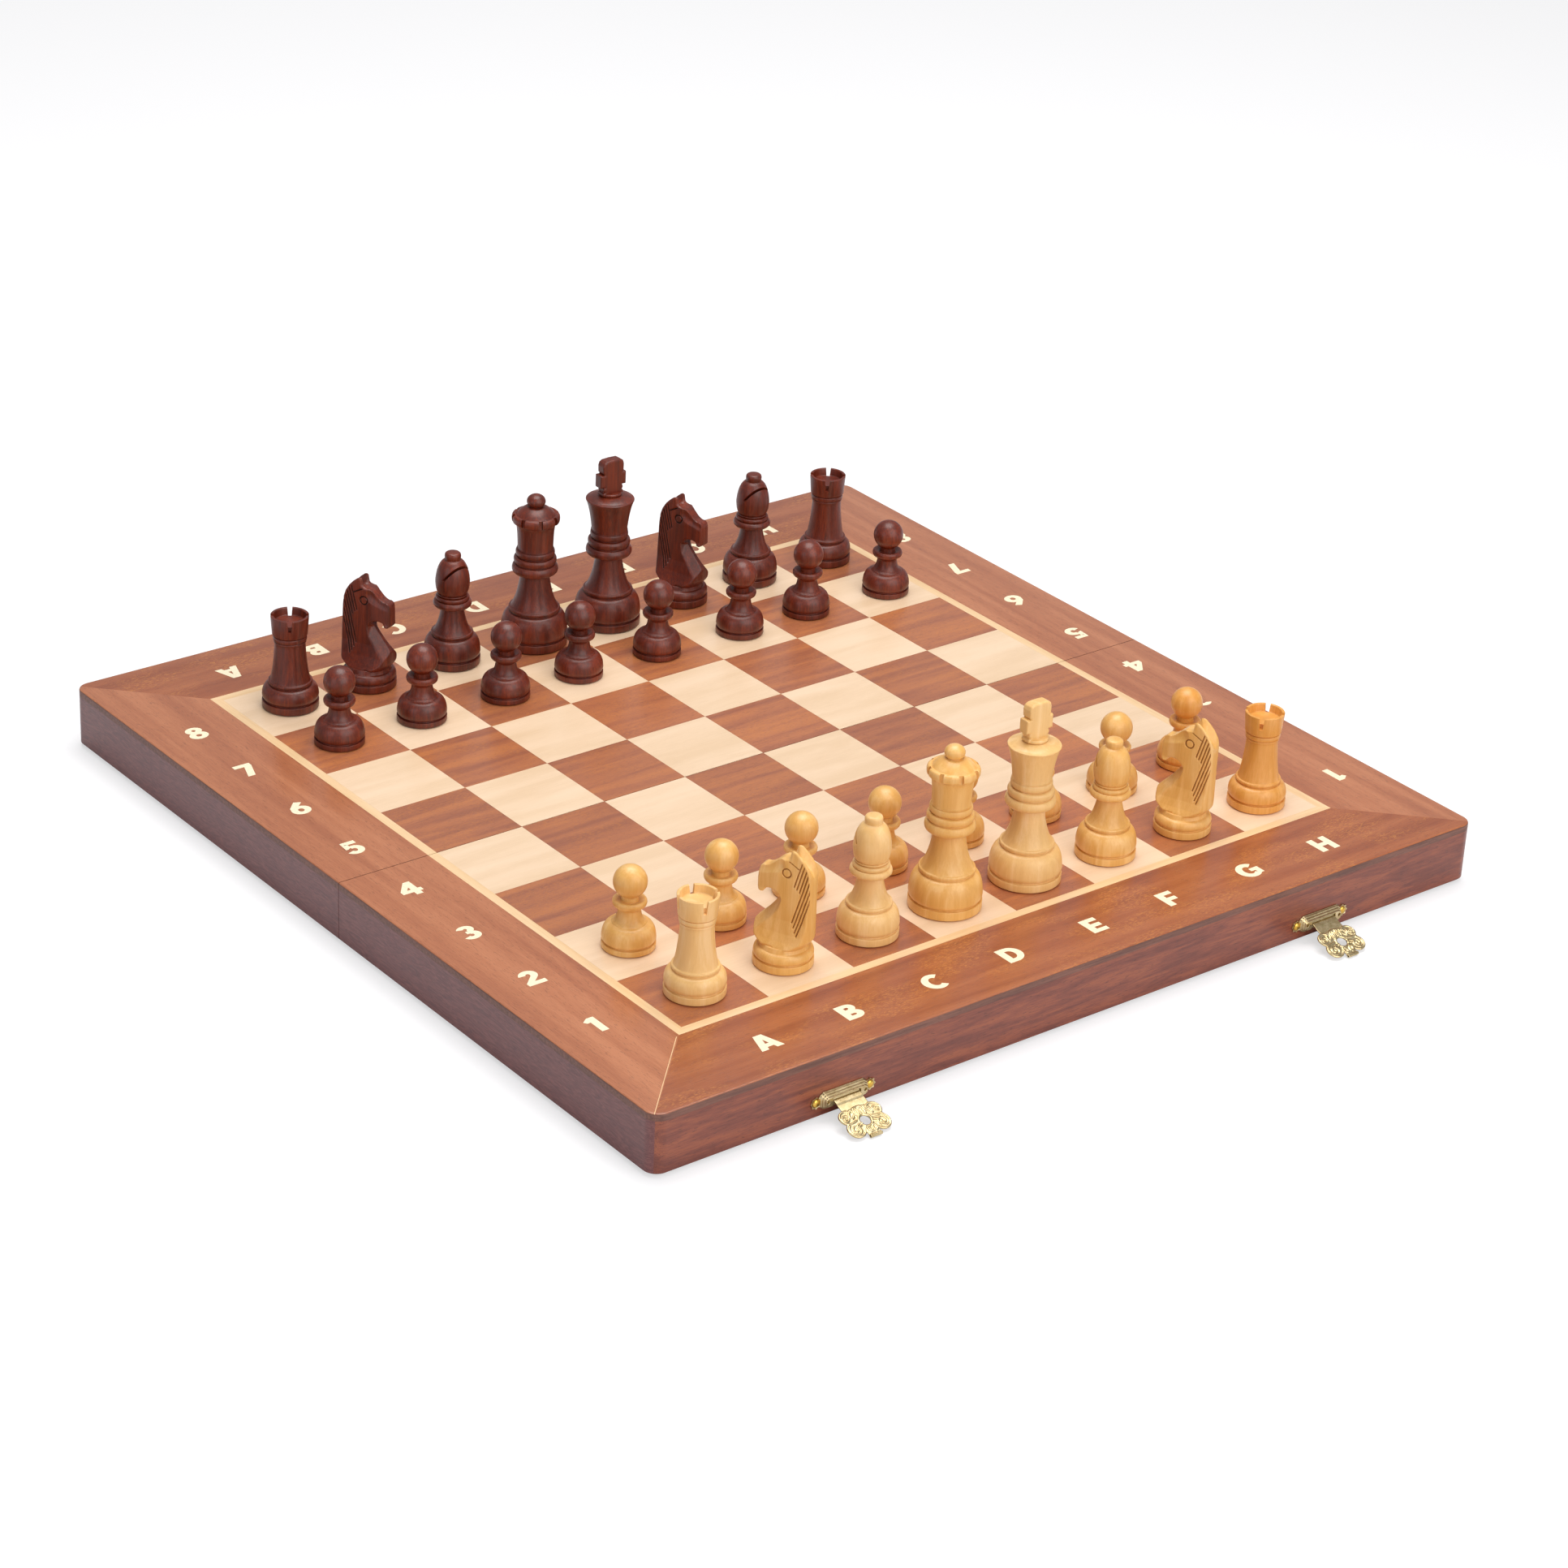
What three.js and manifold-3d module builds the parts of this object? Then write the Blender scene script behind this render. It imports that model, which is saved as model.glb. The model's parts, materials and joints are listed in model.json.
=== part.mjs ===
// A wooden chess set on its folding board. Millimetres, +Z up.
// X runs from the A file to the H file and Y from rank 1 to rank 8, so White sits on the -Y side.
// The board is two shallow trays turned upside down and hinged along the seam between ranks 4 and 5:
// the trays close over the men with the squares outside, and two hooked clasps hold them shut.
// The model is drawn about the seam's centre at table level and moved to its own centre at the end.

import * as THREE from 'three';
import { mergeVertices } from 'three/addons/utils/BufferGeometryUtils.js';
import Module from 'manifold-3d';

const wasm = await Module();
wasm.setup();

// ---------------------------------------------------------------- driving dimensions

// Playing field and border
const squaresPerSide = 8;
const squareSize = 40;
const stringWidth = 4;          // pale line let in round the squares
const borderWidth = 41;         // veneered border outside the string
const cornerRadius = 6;

// Thicknesses
const boardThickness = 25;
const wallThickness = 9;
const panelThickness = 2.2;
const veneerThickness = 0.8;
const veneerBacking = 0.3;      // dark sheet that carries the squares
const veneerBridge = 0.6;       // pale veneer left between two dark squares that meet at a corner
const feltThickness = 0.8;
const glueLine = 0.02;
const halfGap = 0.3;            // between the trays, open at the seam and closed at the rims

// Butt hinges let into the seam walls
const hingeOffset = 110;        // from the middle of the seam
const hingeLength = 30;
const hingeRadius = 1.25;
const hingePinRadius = 0.6;
const leafThickness = 0.8;
const leafWidth = 8;
const hingeClearance = 0.3;

// Clasps on the front wall and catches on the back wall
const claspOffset = 120;        // from the middle of the wall
const claspWidth = 22;
const claspHeight = 7;
const claspDepth = 3;
const claspLift = 3;            // plate above the rim
const claspBevel = 1;
const claspSheet = 0.45;
const claspLobe = 2.6;          // radius of the lobe at each end that takes a nail
const pivotLift = 7;            // hasp pivot above the rim
const pivotDepth = 1.5;         // hasp pivot in front of the wall
const haspEyeRadius = 0.8;
const haspPinRadius = 0.4;
const haspPinReach = 1.5;       // pin beyond the eye, into the housing
const haspNeckWidth = 12.2;
const haspNeckLength = 6.5;
const haspWidth = 19.2;
const haspBodyLength = 12.5;
const haspNick = 0.9;           // between the two lobes of its edge
const haspLipWidth = 6;
const haspLipLength = 2;
const haspThickness = 0.8;
const haspHoleRadius = 2.1;
const haspHoleReach = 13.2;     // pivot to hole
const haspClearance = 0.3;
const tableClearance = 0.3;     // open hasp above the table
const catchWidth = 20;
const catchHeight = 7;
const studRadius = 1.6;
const studLength = 2.4;

// Chess men: radii and stacked member heights, from the foot up
const pawn = {
  foot: 10.4, plinth: 3, shoulder: 7.8, ledge: 6.9, stem: 7, stemBelly: -0.7, waist: 4.3,
  collar: 6.3, collarHeight: 4.2, neck: 4.8, neckHeight: 1,
  head: 6.55, headHeight: 12.4, headSteps: 4,
};
const rook = {
  foot: 11.8, plinth: 4, shoulder: 6.8, ledge: 9.2, bead: 1.4, stem: 15.8, waist: 6.3,
  ring: 7.2, ringHeight: 2.4, tower: 7.4, towerTop: 8, towerHeight: 11.3,
  wall: 1.4, well: 3.2, slot: 1.3, slotDepth: 4.6,
};
const bishop = {
  foot: 12.1, plinth: 4, shoulder: 9.3, ledge: 9, bead: 1.4, stem: 11.3, waist: 4.7,
  lowerRing: 8.2, lowerRingHeight: 3.4, upperRing: 7.2, upperRingHeight: 2.6,
  neck: 6.1, mitre: 7.1, mitreRise: 5.6, mitreBelly: 0.6, capRise: 10, capBelly: 0.62, cap: 3.2,
  button: 3.5, buttonHeight: 3.2, buttonTop: 1.5,
  kerf: 1, kerfSlope: 58, kerfFloor: 2, kerfRise: 7.4,    // its floor off the axis, above the neck
};
const queen = {
  foot: 14.4, plinth: 4.6, shoulder: 11.2, ledge: 11.1, bead: 1.6, stem: 15.4, waist: 6.1,
  lowerRing: 9.9, lowerRingHeight: 5, middleRing: 9.2, middleRingHeight: 3.4,
  upperRing: 8.4, upperRingHeight: 3.2, cup: 7.6, cupTop: 8.2, cupHeight: 9.6,
  crown: 10.2, crownFlare: 3.4, crownBelly: -0.6, crownRim: 2.6, dome: 4, domeHeight: 3.6,
  notch: 1.8, notchDepth: 1.1, notches: 8,
  finialNeck: 2.8, finial: 4.05, finialHeight: 6.4, finialSteps: 3,
};
const king = {
  foot: 14.4, plinth: 4.2, shoulder: 10.8, ledge: 10.8, bead: 1.6, stem: 15.4, waist: 5.6,
  lowerRing: 10, lowerRingHeight: 5, middleRing: 9.2, middleRingHeight: 3.6,
  upperRing: 8.2, upperRingHeight: 3.2, cup: 7.7, cupTop: 10.5, cupHeight: 14.4,
  dome: 5.1, domeHeight: 1.8, finialHeight: 1.4,
  crossWidth: 10.6, crossHeight: 15.6, crossThickness: 4.9, crossRound: 3.2,
  armWidth: 13.2, armHeight: 5.8, armLift: 3.6, notch: 0.8,
};
const knight = {
  foot: 11.6, plinth: 4, torus: 4, torusBelly: 0.8, waist: 9.4, waistHeight: 1.6,
  blank: 11.6, chamfer: 2.4, chamferBelly: 0.7, headHeight: 41,
  shoulderWidth: 16.4, flareHeight: 3.3, neckWidth: 8.8, neckHeight: 11, crownWidth: 7,
};

// Curves that the men share. A belly of 1 fills its corner and one below 0 is hollow.
const shoulderBelly = 0.9;
const stemBelly = -0.4;
const domeBelly = 0.3;
const ringGroove = 1;           // how far one ring stands out over the groove below the next
const ringEdge = 0.3;           // share of a ring's height taken by each sloping edge

// Facets
const pawnSides = 10;
const minorSides = 11;
const royalSides = 14;
const brassSides = 10;
const pinSides = 8;
const curveSteps = 2;

// Modelling allowances
const overshoot = 1;            // how far a cutting block runs past the face it cuts
const weldDistance = 1e-4;

// Where each man stands: square, millimetres off its centre along X and Y, and turn in degrees.
// A knight's turn is the way it faces, a rook's that of one slot and a bishop's that of its kerf.
const white = [
  ['rook', 'a1', -0.6, -1.9, -16], ['knight', 'b1', 0.4, -2.0, 115], ['bishop', 'c1', 0.6, -2.2, 99],
  ['queen', 'd1', -0.3, -0.9, 0], ['king', 'e1', 0.3, -0.7, 0], ['bishop', 'f1', 0, -3.3, 95],
  ['knight', 'g1', 0.6, -3.9, 111], ['rook', 'h1', 1.5, -3.6, 37],
  ['pawn', 'a2', -0.7, -0.4, 0], ['pawn', 'b2', 0, -2.8, 0], ['pawn', 'c2', -0.7, -1.4, 0],
  ['pawn', 'd2', -0.3, -2.2, 0], ['pawn', 'e2', -0.9, -1.6, 0], ['pawn', 'f2', -0.9, -2.1, 0],
  ['pawn', 'g2', 0.3, -1.9, 0], ['pawn', 'h2', 0.3, -0.3, 0],
];
const black = [
  ['rook', 'a8', 1.2, 1.6, -32], ['knight', 'b8', -0.4, 1.5, -65], ['bishop', 'c8', 1.1, 1.2, -84],
  ['queen', 'd8', 1.5, -1.4, 0], ['king', 'e8', 0.5, -1.0, 0], ['knight', 'f8', 1.4, 0, -72],
  ['bishop', 'g8', 0.6, 1.6, -88], ['rook', 'h8', 2.3, 0.9, -40],
  ['pawn', 'a7', -0.1, 1.7, 0], ['pawn', 'b7', -0.2, 1.5, 0], ['pawn', 'c7', 1.1, 0.9, 0],
  ['pawn', 'd7', -1.2, 1.2, 0], ['pawn', 'e7', -0.4, 0.9, 0], ['pawn', 'f7', 2.9, -0.8, 0],
  ['pawn', 'g7', 0.2, 0.1, 0], ['pawn', 'h7', 3.8, -1.6, 0],
];

// ---------------------------------------------------------------- worked-out dimensions

const fieldHalf = squaresPerSide * squareSize / 2;
const stringHalf = fieldHalf + stringWidth;
const boardHalf = stringHalf + borderWidth;
const innerHalf = boardHalf - wallThickness;
const seam = halfGap / 2;
const rim = hingeRadius + halfGap / 2;
const wallHeight = boardThickness - veneerThickness - panelThickness - 2 * glueLine;
const panelBottom = rim + wallHeight + glueLine;
const veneerBottom = panelBottom + panelThickness + glueLine;
const boardTop = veneerBottom + veneerThickness;
const pivotHeight = rim + pivotLift;
const haspLength = haspNeckLength + haspBodyLength + haspLipLength;
const haspAngle = Math.acos((pivotHeight - tableClearance - haspThickness / 2) / haspLength);

// ---------------------------------------------------------------- materials

const finish = (color, roughness, metalness = 0) =>
  new THREE.MeshStandardMaterial({ color, roughness, metalness });

const mahogany = finish(0x9a5a40, 0.4);
const wallWood = finish(0x8c5041, 0.5);
const plywood = finish(0x7d6758, 0.6);
const darkVeneer = finish(0x96553c, 0.38);
const lightVeneer = finish(0xf2dcb8, 0.38);
const felt = finish(0x2f5a3a, 1);
const brass = finish(0xc9b682, 0.35, 1);
const boxwood = finish(0xe8bf80, 0.35);
const rosewood = finish(0x5a2a1c, 0.25);

// ---------------------------------------------------------------- solids

// A closed three.js geometry as a solid that can be cut and joined.
function solid(geometry) {
  const bare = geometry.index ? geometry.toNonIndexed() : geometry.clone();
  bare.deleteAttribute('normal');
  bare.deleteAttribute('uv');
  const merged = mergeVertices(bare, weldDistance);
  const corners = merged.index.array;
  const kept = [];
  for (let i = 0; i < corners.length; i += 3) {
    const [a, b, c] = [corners[i], corners[i + 1], corners[i + 2]];
    if (a !== b && b !== c && c !== a) kept.push(a, b, c);
  }
  return new wasm.Manifold(new wasm.Mesh({
    numProp: 3,
    vertProperties: new Float32Array(merged.attributes.position.array),
    triVerts: new Uint32Array(kept),
  }));
}

function geometryOf(manifold) {
  const mesh = manifold.getMesh();
  const geometry = new THREE.BufferGeometry();
  geometry.setAttribute('position', new THREE.BufferAttribute(mesh.vertProperties, 3));
  geometry.setIndex(new THREE.BufferAttribute(mesh.triVerts, 1));
  return geometry;
}

// A block between two corners.
function block([x0, y0, z0], [x1, y1, z1]) {
  return new THREE.BoxGeometry(x1 - x0, y1 - y0, z1 - z0)
    .translate((x0 + x1) / 2, (y0 + y1) / 2, (z0 + z1) / 2);
}

// An outline in the XY plane raised by a height.
const raised = (shape, bottom, height, steps = curveSteps) =>
  new THREE.ExtrudeGeometry(shape, { depth: height, bevelEnabled: false, curveSegments: steps })
    .translate(0, 0, bottom);

// An outline drawn in X and Z, extruded towards -Y from the plane y = back.
const upright = (shape, back, depth, steps = curveSteps) =>
  new THREE.ExtrudeGeometry(shape, { depth, bevelEnabled: false, curveSegments: steps })
    .rotateX(Math.PI / 2)
    .translate(0, back, 0);

function outline(points) {
  return new THREE.Shape(points.map(([x, y]) => new THREE.Vector2(x, y)));
}

function part(group, name, geometry, material) {
  const mesh = new THREE.Mesh(geometry, material);
  mesh.name = name;
  group.add(mesh);
  return mesh;
}

// ---------------------------------------------------------------- board

// The mitre starts where the rounded corner meets the diagonal.
const cornerCentre = boardHalf - cornerRadius;
const mitreOuter = cornerCentre + cornerRadius * Math.SQRT1_2;

function frontWallOutline() {
  const shape = new THREE.Shape();
  shape.moveTo(-innerHalf, -innerHalf);
  shape.lineTo(-mitreOuter, -mitreOuter);
  shape.absarc(-cornerCentre, -cornerCentre, cornerRadius, Math.PI * 1.25, Math.PI * 1.5);
  shape.absarc(cornerCentre, -cornerCentre, cornerRadius, Math.PI * 1.5, Math.PI * 1.75);
  shape.lineTo(innerHalf, -innerHalf);
  return shape;
}

function sideWallOutline(side) {
  const shape = new THREE.Shape();
  const [start, end] = side < 0 ? [Math.PI * 1.25, Math.PI] : [-Math.PI / 4, 0];
  shape.moveTo(side * innerHalf, -innerHalf);
  shape.lineTo(side * mitreOuter, -mitreOuter);
  shape.absarc(side * cornerCentre, -cornerCentre, cornerRadius, start, end, side < 0);
  shape.lineTo(side * boardHalf, -seam);
  shape.lineTo(side * innerHalf, -seam);
  return shape;
}

// The seam wall's rim is notched right through for the two hinges.
function seamWall() {
  const reach = hingeLength / 2 + hingeClearance;
  const points = [[-innerHalf, rim]];
  for (const centre of [-hingeOffset, hingeOffset]) {
    points.push([centre - reach, rim], [centre - reach, leafTop]);
    points.push([centre + reach, leafTop], [centre + reach, rim]);
  }
  points.push([innerHalf, rim], [innerHalf, rim + wallHeight], [-innerHalf, rim + wallHeight]);
  return upright(outline(points), -seam, wallThickness);
}

// One tray's top, square at the seam and rounded at its outer corners.
function trayOutline(half) {
  const shape = new THREE.Shape();
  shape.moveTo(half, -seam);
  shape.lineTo(-half, -seam);
  shape.absarc(-cornerCentre, -cornerCentre, cornerRadius, Math.PI, Math.PI * 1.5);
  shape.absarc(cornerCentre, -cornerCentre, cornerRadius, Math.PI * 1.5, Math.PI * 2);
  return shape;
}

function borderOutline() {
  const shape = new THREE.Shape();
  shape.moveTo(-stringHalf, -seam);
  shape.lineTo(-boardHalf, -seam);
  shape.absarc(-cornerCentre, -cornerCentre, cornerRadius, Math.PI, Math.PI * 1.5);
  shape.absarc(cornerCentre, -cornerCentre, cornerRadius, Math.PI * 1.5, Math.PI * 2);
  shape.lineTo(boardHalf, -seam);
  shape.lineTo(stringHalf, -seam);
  shape.lineTo(stringHalf, -stringHalf);
  shape.lineTo(-stringHalf, -stringHalf);
  return shape;
}

// The dark squares of one tray as [x0, y0, x1, y1]; the square at the outer left corner is dark.
function darkWindows() {
  const windows = [];
  const inset = veneerBridge / 2;
  for (let rank = 0; rank < squaresPerSide / 2; rank++) {
    for (let file = rank % 2; file < squaresPerSide; file += 2) {
      const x = file * squareSize - fieldHalf;
      const y = rank * squareSize - fieldHalf;
      const top = Math.min(y + squareSize, -seam);
      windows.push([x + inset, y + inset, x + squareSize - inset, top - inset]);
    }
  }
  return windows;
}

// The pale veneer is one sheet with a window for each dark square; its margin is the string.
function lightSheet() {
  const bottom = veneerBottom + veneerBacking;
  let sheet = solid(block([-stringHalf, -stringHalf, bottom], [stringHalf, -seam, boardTop]));
  for (const [x0, y0, x1, y1] of darkWindows()) {
    const window = block([x0, y0, bottom - overshoot], [x1, y1, boardTop + overshoot]);
    sheet = sheet.subtract(solid(window));
  }
  return geometryOf(sheet);
}

// The dark veneer is a thin backing with a raised square for each window.
function darkSheet() {
  let sheet = solid(block(
    [-stringHalf, -stringHalf, veneerBottom], [stringHalf, -seam, veneerBottom + veneerBacking]));
  for (const [x0, y0, x1, y1] of darkWindows()) {
    sheet = sheet.add(solid(block([x0, y0, veneerBottom], [x1, y1, boardTop])));
  }
  return geometryOf(sheet);
}

// ---------------------------------------------------------------- hinges

const knuckleLength = (hingeLength - 2 * hingeClearance) / 3;
const knuckleStep = knuckleLength + hingeClearance;
const leafTop = 2 * hingeRadius + hingeClearance;

function rod(radius, x0, x1, y, z, sides = brassSides) {
  return new THREE.CylinderGeometry(radius, radius, x1 - x0, sides)
    .rotateZ(Math.PI / 2)
    .translate((x0 + x1) / 2, y, z);
}

// A leaf lies in the seam wall's notch and reaches the barrel at its own knuckles only.
// It is drawn on the -Y side of the pin, with the pin's axis along X at barrel height.
function hingeLeaf(knuckles, hasPin) {
  const half = hingeLength / 2;
  const clear = hingeRadius + hingeClearance;
  const leafBottom = leafTop - leafThickness;
  let leaf = solid(block([-half, -seam - leafWidth, leafBottom], [half, -clear, leafTop]));
  for (const knuckle of knuckles) {
    const x0 = knuckle * knuckleStep - knuckleLength / 2;
    const x1 = x0 + knuckleLength;
    const web = block([x0, -clear - leafThickness, leafBottom], [x1, -hingePinRadius / 2, leafTop]);
    leaf = leaf.add(solid(web)).add(solid(rod(hingeRadius, x0, x1, 0, hingeRadius)));
  }
  if (hasPin) {
    leaf = leaf.add(solid(rod(hingePinRadius, -half, half, 0, hingeRadius, pinSides)));
  } else {
    const bore = rod(hingePinRadius + hingeClearance, -half, half, 0, hingeRadius, pinSides);
    leaf = leaf.subtract(solid(bore));
  }
  return geometryOf(leaf);
}

// ---------------------------------------------------------------- clasps

// A raised housing with nail lobes at its ends, open in front and below where the hasp swings.
// It is drawn against the plane y = 0 and facing -Y, with z = 0 at the rim.
function claspPlate() {
  const top = claspLift + claspHeight;
  const half = claspWidth / 2;
  const middle = claspLift + claspHeight / 2;
  const slotHalf = haspNeckWidth / 2 + haspClearance;
  const slotTop = pivotLift + haspEyeRadius + haspClearance;
  const pinReach = haspNeckWidth / 2 + haspPinReach + haspClearance;

  let plate = solid(bevelledPlate(claspWidth, claspDepth, claspHeight, claspBevel)
    .translate(0, 0, middle));
  for (const side of [-1, 1]) {
    const lobe = new THREE.CylinderGeometry(claspLobe, claspLobe, claspSheet, brassSides)
      .translate(side * (half + claspLobe / 2), -claspSheet / 2, middle);
    plate = plate.add(solid(lobe));
  }
  const slot = block(
    [-slotHalf, -claspDepth - overshoot, claspLift - overshoot], [slotHalf, -claspSheet, slotTop]);
  const bore = rod(
    haspPinRadius + haspClearance, -pinReach, pinReach, -pivotDepth, pivotLift, pinSides);
  return geometryOf(plate.subtract(solid(slot)).subtract(solid(bore)));
}

// A block with its back on y = 0 and its front face drawn in by the bevel.
function bevelledPlate(width, depth, height, bevel) {
  const plate = new THREE.BoxGeometry(width, depth, height).translate(0, -depth / 2, 0);
  const { position } = plate.attributes;
  for (let i = 0; i < position.count; i++) {
    if (position.getY(i) > -depth / 2) continue;
    position.setX(i, position.getX(i) - Math.sign(position.getX(i)) * bevel);
    position.setZ(i, position.getZ(i) - Math.sign(position.getZ(i)) * bevel);
  }
  return plate;
}

// The hasp hangs from its pivot at the origin: a plain neck, a lobed body with a hole and a lip.
function haspOutline() {
  const neck = haspNeckWidth / 2;
  const wide = haspWidth / 2;
  const nick = wide - haspNick;
  const lip = haspLipWidth / 2;
  const bodyTop = -haspNeckLength;
  const bodyEnd = bodyTop - haspBodyLength;
  const middle = (bodyTop + bodyEnd) / 2;
  const upper = (bodyTop + middle) / 2;
  const lower = (bodyEnd + middle) / 2;
  const shape = new THREE.Shape();
  shape.moveTo(-neck, 0);
  shape.lineTo(-neck, bodyTop);
  shape.quadraticCurveTo(-wide, bodyTop, -wide, upper);
  shape.quadraticCurveTo(-wide, middle, -nick, middle);
  shape.quadraticCurveTo(-wide, middle, -wide, lower);
  shape.quadraticCurveTo(-wide, bodyEnd, -lip, bodyEnd);
  shape.lineTo(-lip, -haspLength);
  shape.lineTo(lip, -haspLength);
  shape.lineTo(lip, bodyEnd);
  shape.quadraticCurveTo(wide, bodyEnd, wide, lower);
  shape.quadraticCurveTo(wide, middle, nick, middle);
  shape.quadraticCurveTo(wide, middle, wide, upper);
  shape.quadraticCurveTo(wide, bodyTop, neck, bodyTop);
  shape.lineTo(neck, 0);
  const hole = new THREE.Path();
  hole.absarc(0, -haspHoleReach, haspHoleRadius, 0, Math.PI * 2);
  shape.holes.push(hole);
  return shape;
}

function hasp() {
  const neck = haspNeckWidth / 2;
  const pin = neck + haspPinReach;
  const plate = upright(haspOutline(), haspThickness / 2, haspThickness);
  return geometryOf(solid(plate)
    .add(solid(rod(haspEyeRadius, -neck, neck, 0, 0, pinSides)))
    .add(solid(rod(haspPinRadius, -pin, pin, 0, 0, pinSides))));
}

// The catch's stud stands where the hasp's hole comes when the board is folded shut.
function catchPlate() {
  const lift = haspHoleReach - pivotLift - halfGap;
  const stud = new THREE.CylinderGeometry(studRadius, studRadius, studLength, brassSides)
    .translate(0, -studLength / 2, lift);
  return geometryOf(solid(bevelledPlate(catchWidth, claspSheet, catchHeight, claspSheet)
    .translate(0, 0, lift)).add(solid(stud)));
}

// ---------------------------------------------------------------- turned men

// A turned outline, built upwards from the foot; each call adds one member.
class Turning {
  constructor(foot) {
    this.points = [new THREE.Vector2(0, 0), new THREE.Vector2(foot, 0)];
  }

  get end() {
    return this.points[this.points.length - 1];
  }

  // A straight or tapered rise.
  rise(height, radius = this.end.x) {
    this.points.push(new THREE.Vector2(radius, this.end.y + height));
    return this;
  }

  // A flat step in or out at the present height.
  step(radius) {
    return this.rise(0, radius);
  }

  // A curved rise, full where belly is above 0 and hollow where it is below.
  curve(height, radius, belly) {
    const start = this.end;
    const stop = new THREE.Vector2(radius, start.y + height);
    const outer = new THREE.Vector2(Math.max(start.x, stop.x), stop.x < start.x ? stop.y : start.y);
    const inner = new THREE.Vector2(Math.min(start.x, stop.x), stop.x < start.x ? start.y : stop.y);
    const middle = start.clone().add(stop).divideScalar(2);
    middle.lerp(belly > 0 ? outer : inner, Math.abs(belly));
    const bend = new THREE.QuadraticBezierCurve(start, middle, stop);
    this.points.push(...bend.getPoints(curveSteps).slice(1));
    return this;
  }

  // A ring with one facet each side of its rim, and the stem's radius after it.
  ring(height, radius, after) {
    const start = this.end;
    this.points.push(new THREE.Vector2(radius, start.y + height * ringEdge));
    this.points.push(new THREE.Vector2(radius, start.y + height * (1 - ringEdge)));
    this.points.push(new THREE.Vector2(after, start.y + height));
    return this;
  }

  // An egg that closes the outline on the axis, from the present radius to its tip.
  egg(height, radius, steps) {
    const start = this.end;
    const cut = Math.sqrt(1 - (start.x / radius) ** 2);
    const half = height / (1 + cut);
    const first = Math.asin(-cut);
    for (let i = 1; i <= steps; i++) {
      const angle = THREE.MathUtils.lerp(first, Math.PI / 2, i / steps);
      const across = i < steps ? radius * Math.cos(angle) : 0;
      this.points.push(new THREE.Vector2(across, start.y + half * (cut + Math.sin(angle))));
    }
    return this;
  }

  // A flat end on the axis.
  close() {
    return this.step(0);
  }

  solid(sides) {
    return solid(new THREE.LatheGeometry(this.points, sides).rotateX(Math.PI / 2));
  }
}

// The foot that the tall men share: plinth, shoulder, ledge and a hollow stem up to the waist.
function pedestal(man) {
  return new Turning(man.foot)
    .rise(man.plinth)
    .curve(man.shoulder, man.ledge, shoulderBelly)
    .rise(man.bead)
    .step(man.ledge - man.bead / 2)
    .curve(man.stem, man.waist, stemBelly);
}

function pawnSolid() {
  return new Turning(pawn.foot)
    .rise(pawn.plinth)
    .curve(pawn.shoulder, pawn.ledge, shoulderBelly)
    .curve(pawn.stem, pawn.waist, pawn.stemBelly)
    .ring(pawn.collarHeight, pawn.collar, pawn.neck)
    .rise(pawn.neckHeight)
    .egg(pawn.headHeight, pawn.head, pawn.headSteps)
    .solid(pawnSides);
}

function rookSolid() {
  const turned = pedestal(rook)
    .ring(rook.ringHeight, rook.ring, rook.waist)
    .step(rook.tower)
    .rise(rook.towerHeight, rook.towerTop);
  const top = turned.end.y;
  const inside = rook.towerTop - rook.wall;
  let body = turned.step(inside).rise(-rook.well).close().solid(minorSides);
  for (let i = 0; i < 4; i++) {
    const slot = block(
      [inside - rook.wall / 2, -rook.slot / 2, top - rook.slotDepth],
      [rook.foot, rook.slot / 2, top + overshoot],
    ).rotateZ(i * Math.PI / 2);
    body = body.subtract(solid(slot));
  }
  return body;
}

function bishopSolid() {
  const turned = pedestal(bishop)
    .ring(bishop.lowerRingHeight, bishop.lowerRing, bishop.upperRing - ringGroove)
    .ring(bishop.upperRingHeight, bishop.upperRing, bishop.neck);
  const neckHeight = turned.end.y;
  turned
    .curve(bishop.mitreRise, bishop.mitre, bishop.mitreBelly)
    .curve(bishop.capRise, bishop.cap, bishop.capBelly)
    .ring(bishop.buttonHeight, bishop.button, bishop.buttonTop)
    .close();
  const kerf = block(
    [0, -bishop.mitre - overshoot, -bishop.kerf / 2],
    [bishop.capRise, bishop.mitre + overshoot, bishop.kerf / 2],
  ).rotateY(THREE.MathUtils.degToRad(-bishop.kerfSlope))
    .translate(bishop.kerfFloor, 0, neckHeight + bishop.kerfRise);
  return turned.solid(minorSides).subtract(solid(kerf));
}

function royalStem(man) {
  return pedestal(man)
    .ring(man.lowerRingHeight, man.lowerRing, man.middleRing - ringGroove)
    .ring(man.middleRingHeight, man.middleRing, man.upperRing - ringGroove)
    .ring(man.upperRingHeight, man.upperRing, man.cup);
}

function queenSolid() {
  const turned = royalStem(queen)
    .rise(queen.cupHeight, queen.cupTop)
    .curve(queen.crownFlare, queen.crown, queen.crownBelly);
  const rimBottom = turned.end.y - queen.crownFlare;
  turned.rise(queen.crownRim);
  const rimTop = turned.end.y;
  let body = turned
    .curve(queen.domeHeight, queen.dome, domeBelly)
    .step(queen.finialNeck)
    .egg(queen.finialHeight, queen.finial, queen.finialSteps)
    .solid(royalSides);
  for (let i = 0; i < queen.notches; i++) {
    const notch = block(
      [queen.crown - queen.notchDepth, -queen.notch / 2, rimBottom],
      [queen.foot, queen.notch / 2, rimTop + overshoot],
    ).rotateZ((i + 0.5) * 2 * Math.PI / queen.notches);
    body = body.subtract(solid(notch));
  }
  return body;
}

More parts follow.
